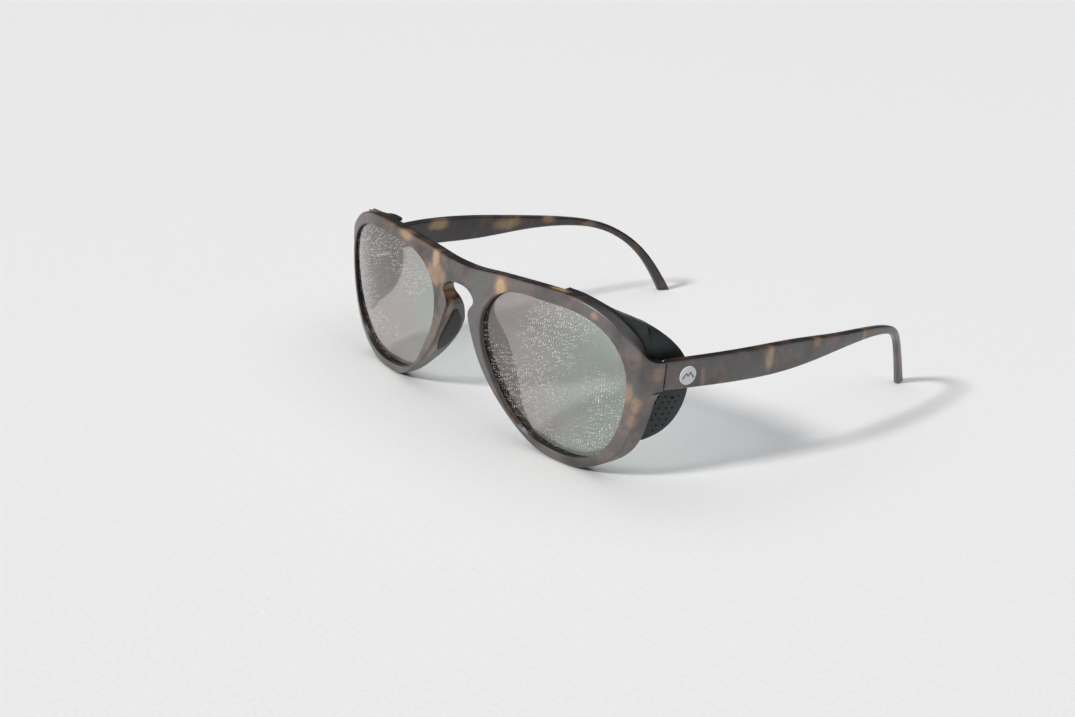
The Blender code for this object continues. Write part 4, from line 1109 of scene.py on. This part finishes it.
def brushed_steel():
    """Dark plated steel with fine scratches along the part."""
    material, tree, shader = new_material("steel")
    stretched = vector_node(tree, "MULTIPLY", millimetres(tree), (9.0, 1.2, 9.0))
    scratches = noise(tree, stretched, 1.0, 4.0, 0.7)
    link(tree, ramp(tree, scratches, (0.3, STEEL_DARK), (0.7, STEEL_LIGHT)), shader, "Base Color")
    link(tree, spread(tree, scratches, 0.22, 0.42), shader, "Roughness")
    bump(tree, shader, scratches, 0.01)
    shader.inputs["Metallic"].default_value = 1.0
    return material


def inlay_white():
    """Satin white enamel with slight wear."""
    material, tree, shader = new_material("inlay_white")
    point = millimetres(tree)
    colour = ramp(tree, noise(tree, point, 0.6, 3.0), (0.3, WHITE_WORN), (0.7, WHITE))
    link(tree, colour, shader, "Base Color")
    link(tree, spread(tree, noise(tree, point, 3.0), 0.35, 0.5), shader, "Roughness")
    bump(tree, shader, noise(tree, point, 4.0), 0.006)
    return material


# ---- scene
def settle(thing, body, slot, material, *nodes):
    """Give a piece its material, and let it ride on its body in place of its CAD nodes."""
    thing.data.materials.clear()
    thing.data.materials.append(material)
    shade(thing)
    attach(thing, body)
    if nodes:
        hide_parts(*nodes)


def make_floor():
    mesh = bpy.data.meshes.new("floor")
    corners = [(i * FLOOR_HALF, j * FLOOR_HALF, 0) for i, j in ((-1, -1), (1, -1), (1, 1), (-1, 1))]
    mesh.from_pydata(corners, [], [(0, 1, 2, 3)])
    floor = bpy.data.objects.new("floor", mesh)
    floor.location.z = -FLOOR_DROP
    bpy.context.scene.collection.objects.link(floor)
    material, tree, shader = new_material("floor")
    grain = noise(tree, millimetres(tree), 0.8, 4.0, 0.7)
    link(tree, ramp(tree, grain, (0.3, FLOOR_DARK), (0.7, FLOOR_LIGHT)), shader, "Base Color")
    shader.inputs["Roughness"].default_value = 0.9
    bump(tree, shader, grain, 0.12, 0.5)
    mesh.materials.append(material)


def make_light():
    scene = bpy.context.scene
    scene.view_settings.view_transform = "Standard"
    world = bpy.data.worlds.new("studio")
    scene.world = world
    world.use_nodes = True
    tree = world.node_tree
    background = tree.nodes["Background"]
    height = axes(tree, add(tree, "TexCoord").outputs["Generated"])[2]
    sky = ramp(tree, height, (0.45, SKY_LOW), (0.62, SKY_MIDDLE), (0.76, SKY_HIGH))
    tree.links.new(sky, background.inputs["Color"])
    background.inputs["Strength"].default_value = SKY_STRENGTH
    lamp = bpy.data.lights.new("key", "SUN")
    lamp.energy = SUN_STRENGTH
    lamp.angle = math.radians(SUN_WIDTH)
    lamp.color = SUN_COLOUR
    key = bpy.data.objects.new("key", lamp)
    key.rotation_mode = "QUATERNION"
    key.rotation_quaternion = Vector(SUN_FROM).to_track_quat("Z", "Y")
    scene.collection.objects.link(key)


def make_camera():
    scene = bpy.context.scene
    data = bpy.data.cameras.new("camera")
    data.sensor_width = SENSOR
    data.lens = FOCAL_LENGTH
    data.clip_start, data.clip_end = 0.01, 20
    camera = bpy.data.objects.new("camera", data)
    place_at, look_at = Vector(CAMERA) * MM, Vector(TARGET) * MM
    forward = (look_at - place_at).normalized()
    right = forward.cross(Vector((0, 0, 1))).normalized()
    up = right.cross(forward)
    turn = math.radians(ROLL)
    rolled_right = right * math.cos(turn) + up * math.sin(turn)
    rolled_up = up * math.cos(turn) - right * math.sin(turn)
    matrix = Matrix((rolled_right, rolled_up, -forward)).transposed().to_4x4()
    camera.matrix_world = Matrix.Translation(place_at) @ matrix
    scene.collection.objects.link(camera)
    scene.camera = camera


def both_sides(piece, body, slot, material, *nodes):
    """Settle a left-hand piece and its mirror image; names of bodies and nodes take the side."""
    twin = mirrored(piece, piece.name.replace("_left", "_right"))
    for thing, side in ((piece, "left"), (twin, "right")):
        names = [node.format(side) for node in nodes]
        settle(thing, body.format(side), slot, material, *names)


def add_shields(material):
    """Both hoods, each one sheet shaped with a fold between rail and wing, in place of the CAD rail and wing
    nodes; neither is attached to a body.
    """
    shield = make_shield()
    shade(shield)
    twin = mirrored(shield, "shield_hood_right")
    for thing, side, sign in ((shield, "left", 1), (twin, "right", -1)):
        thing.data.materials.clear()
        thing.data.materials.append(material)
        shade(thing)
        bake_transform(thing)
        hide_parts(f"shield_rail_{side}", f"shield_wing_{side}")


def main():
    shell = tortoise()
    glass = sun_lens()
    steel = brushed_steel()
    hood = moulded("shield_black", (0.008, 0.013, 0.014), (0.013, 0.020, 0.021), 0.5, 0.12, 0.015)
    rubber = moulded("pad_rubber", (0.016, 0.018, 0.014), (0.026, 0.027, 0.020), 0.6, 0.1, 0.012)
    ink = moulded("motif_grey", (0.10, 0.11, 0.12), (0.16, 0.17, 0.18), 0.5, 0.1, 0.005)

    settle(make_front(), "frame", "tortoise", shell, "frame_front")
    both_sides(make_lens(), "frame", "lens", glass, "lens_{}")
    both_sides(pad_solid("nose_pad_soft_left", 0, PAD_SUNK, PAD_PROUD, PAD_CROWN),
               "frame", "nose_pad", rubber, "nose_pad_{}")
    both_sides(make_temple(), "temple_{}", "tortoise", shell, "temple_{}")
    both_sides(make_disc(), "temple_{}", "temple_disc", inlay_white(), "temple_disc_{}")
    both_sides(make_motif(), "temple_{}", "temple_disc", ink)
    both_sides(make_screw(), "frame", "hinge", steel, "hinge_screw_{}")
    add_shields(hood)
    for name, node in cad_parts.items():
        if not node.hide_render:
            node.data.materials.clear()
            node.data.materials.append(steel)
    make_floor()
    make_light()
    make_camera()


main()
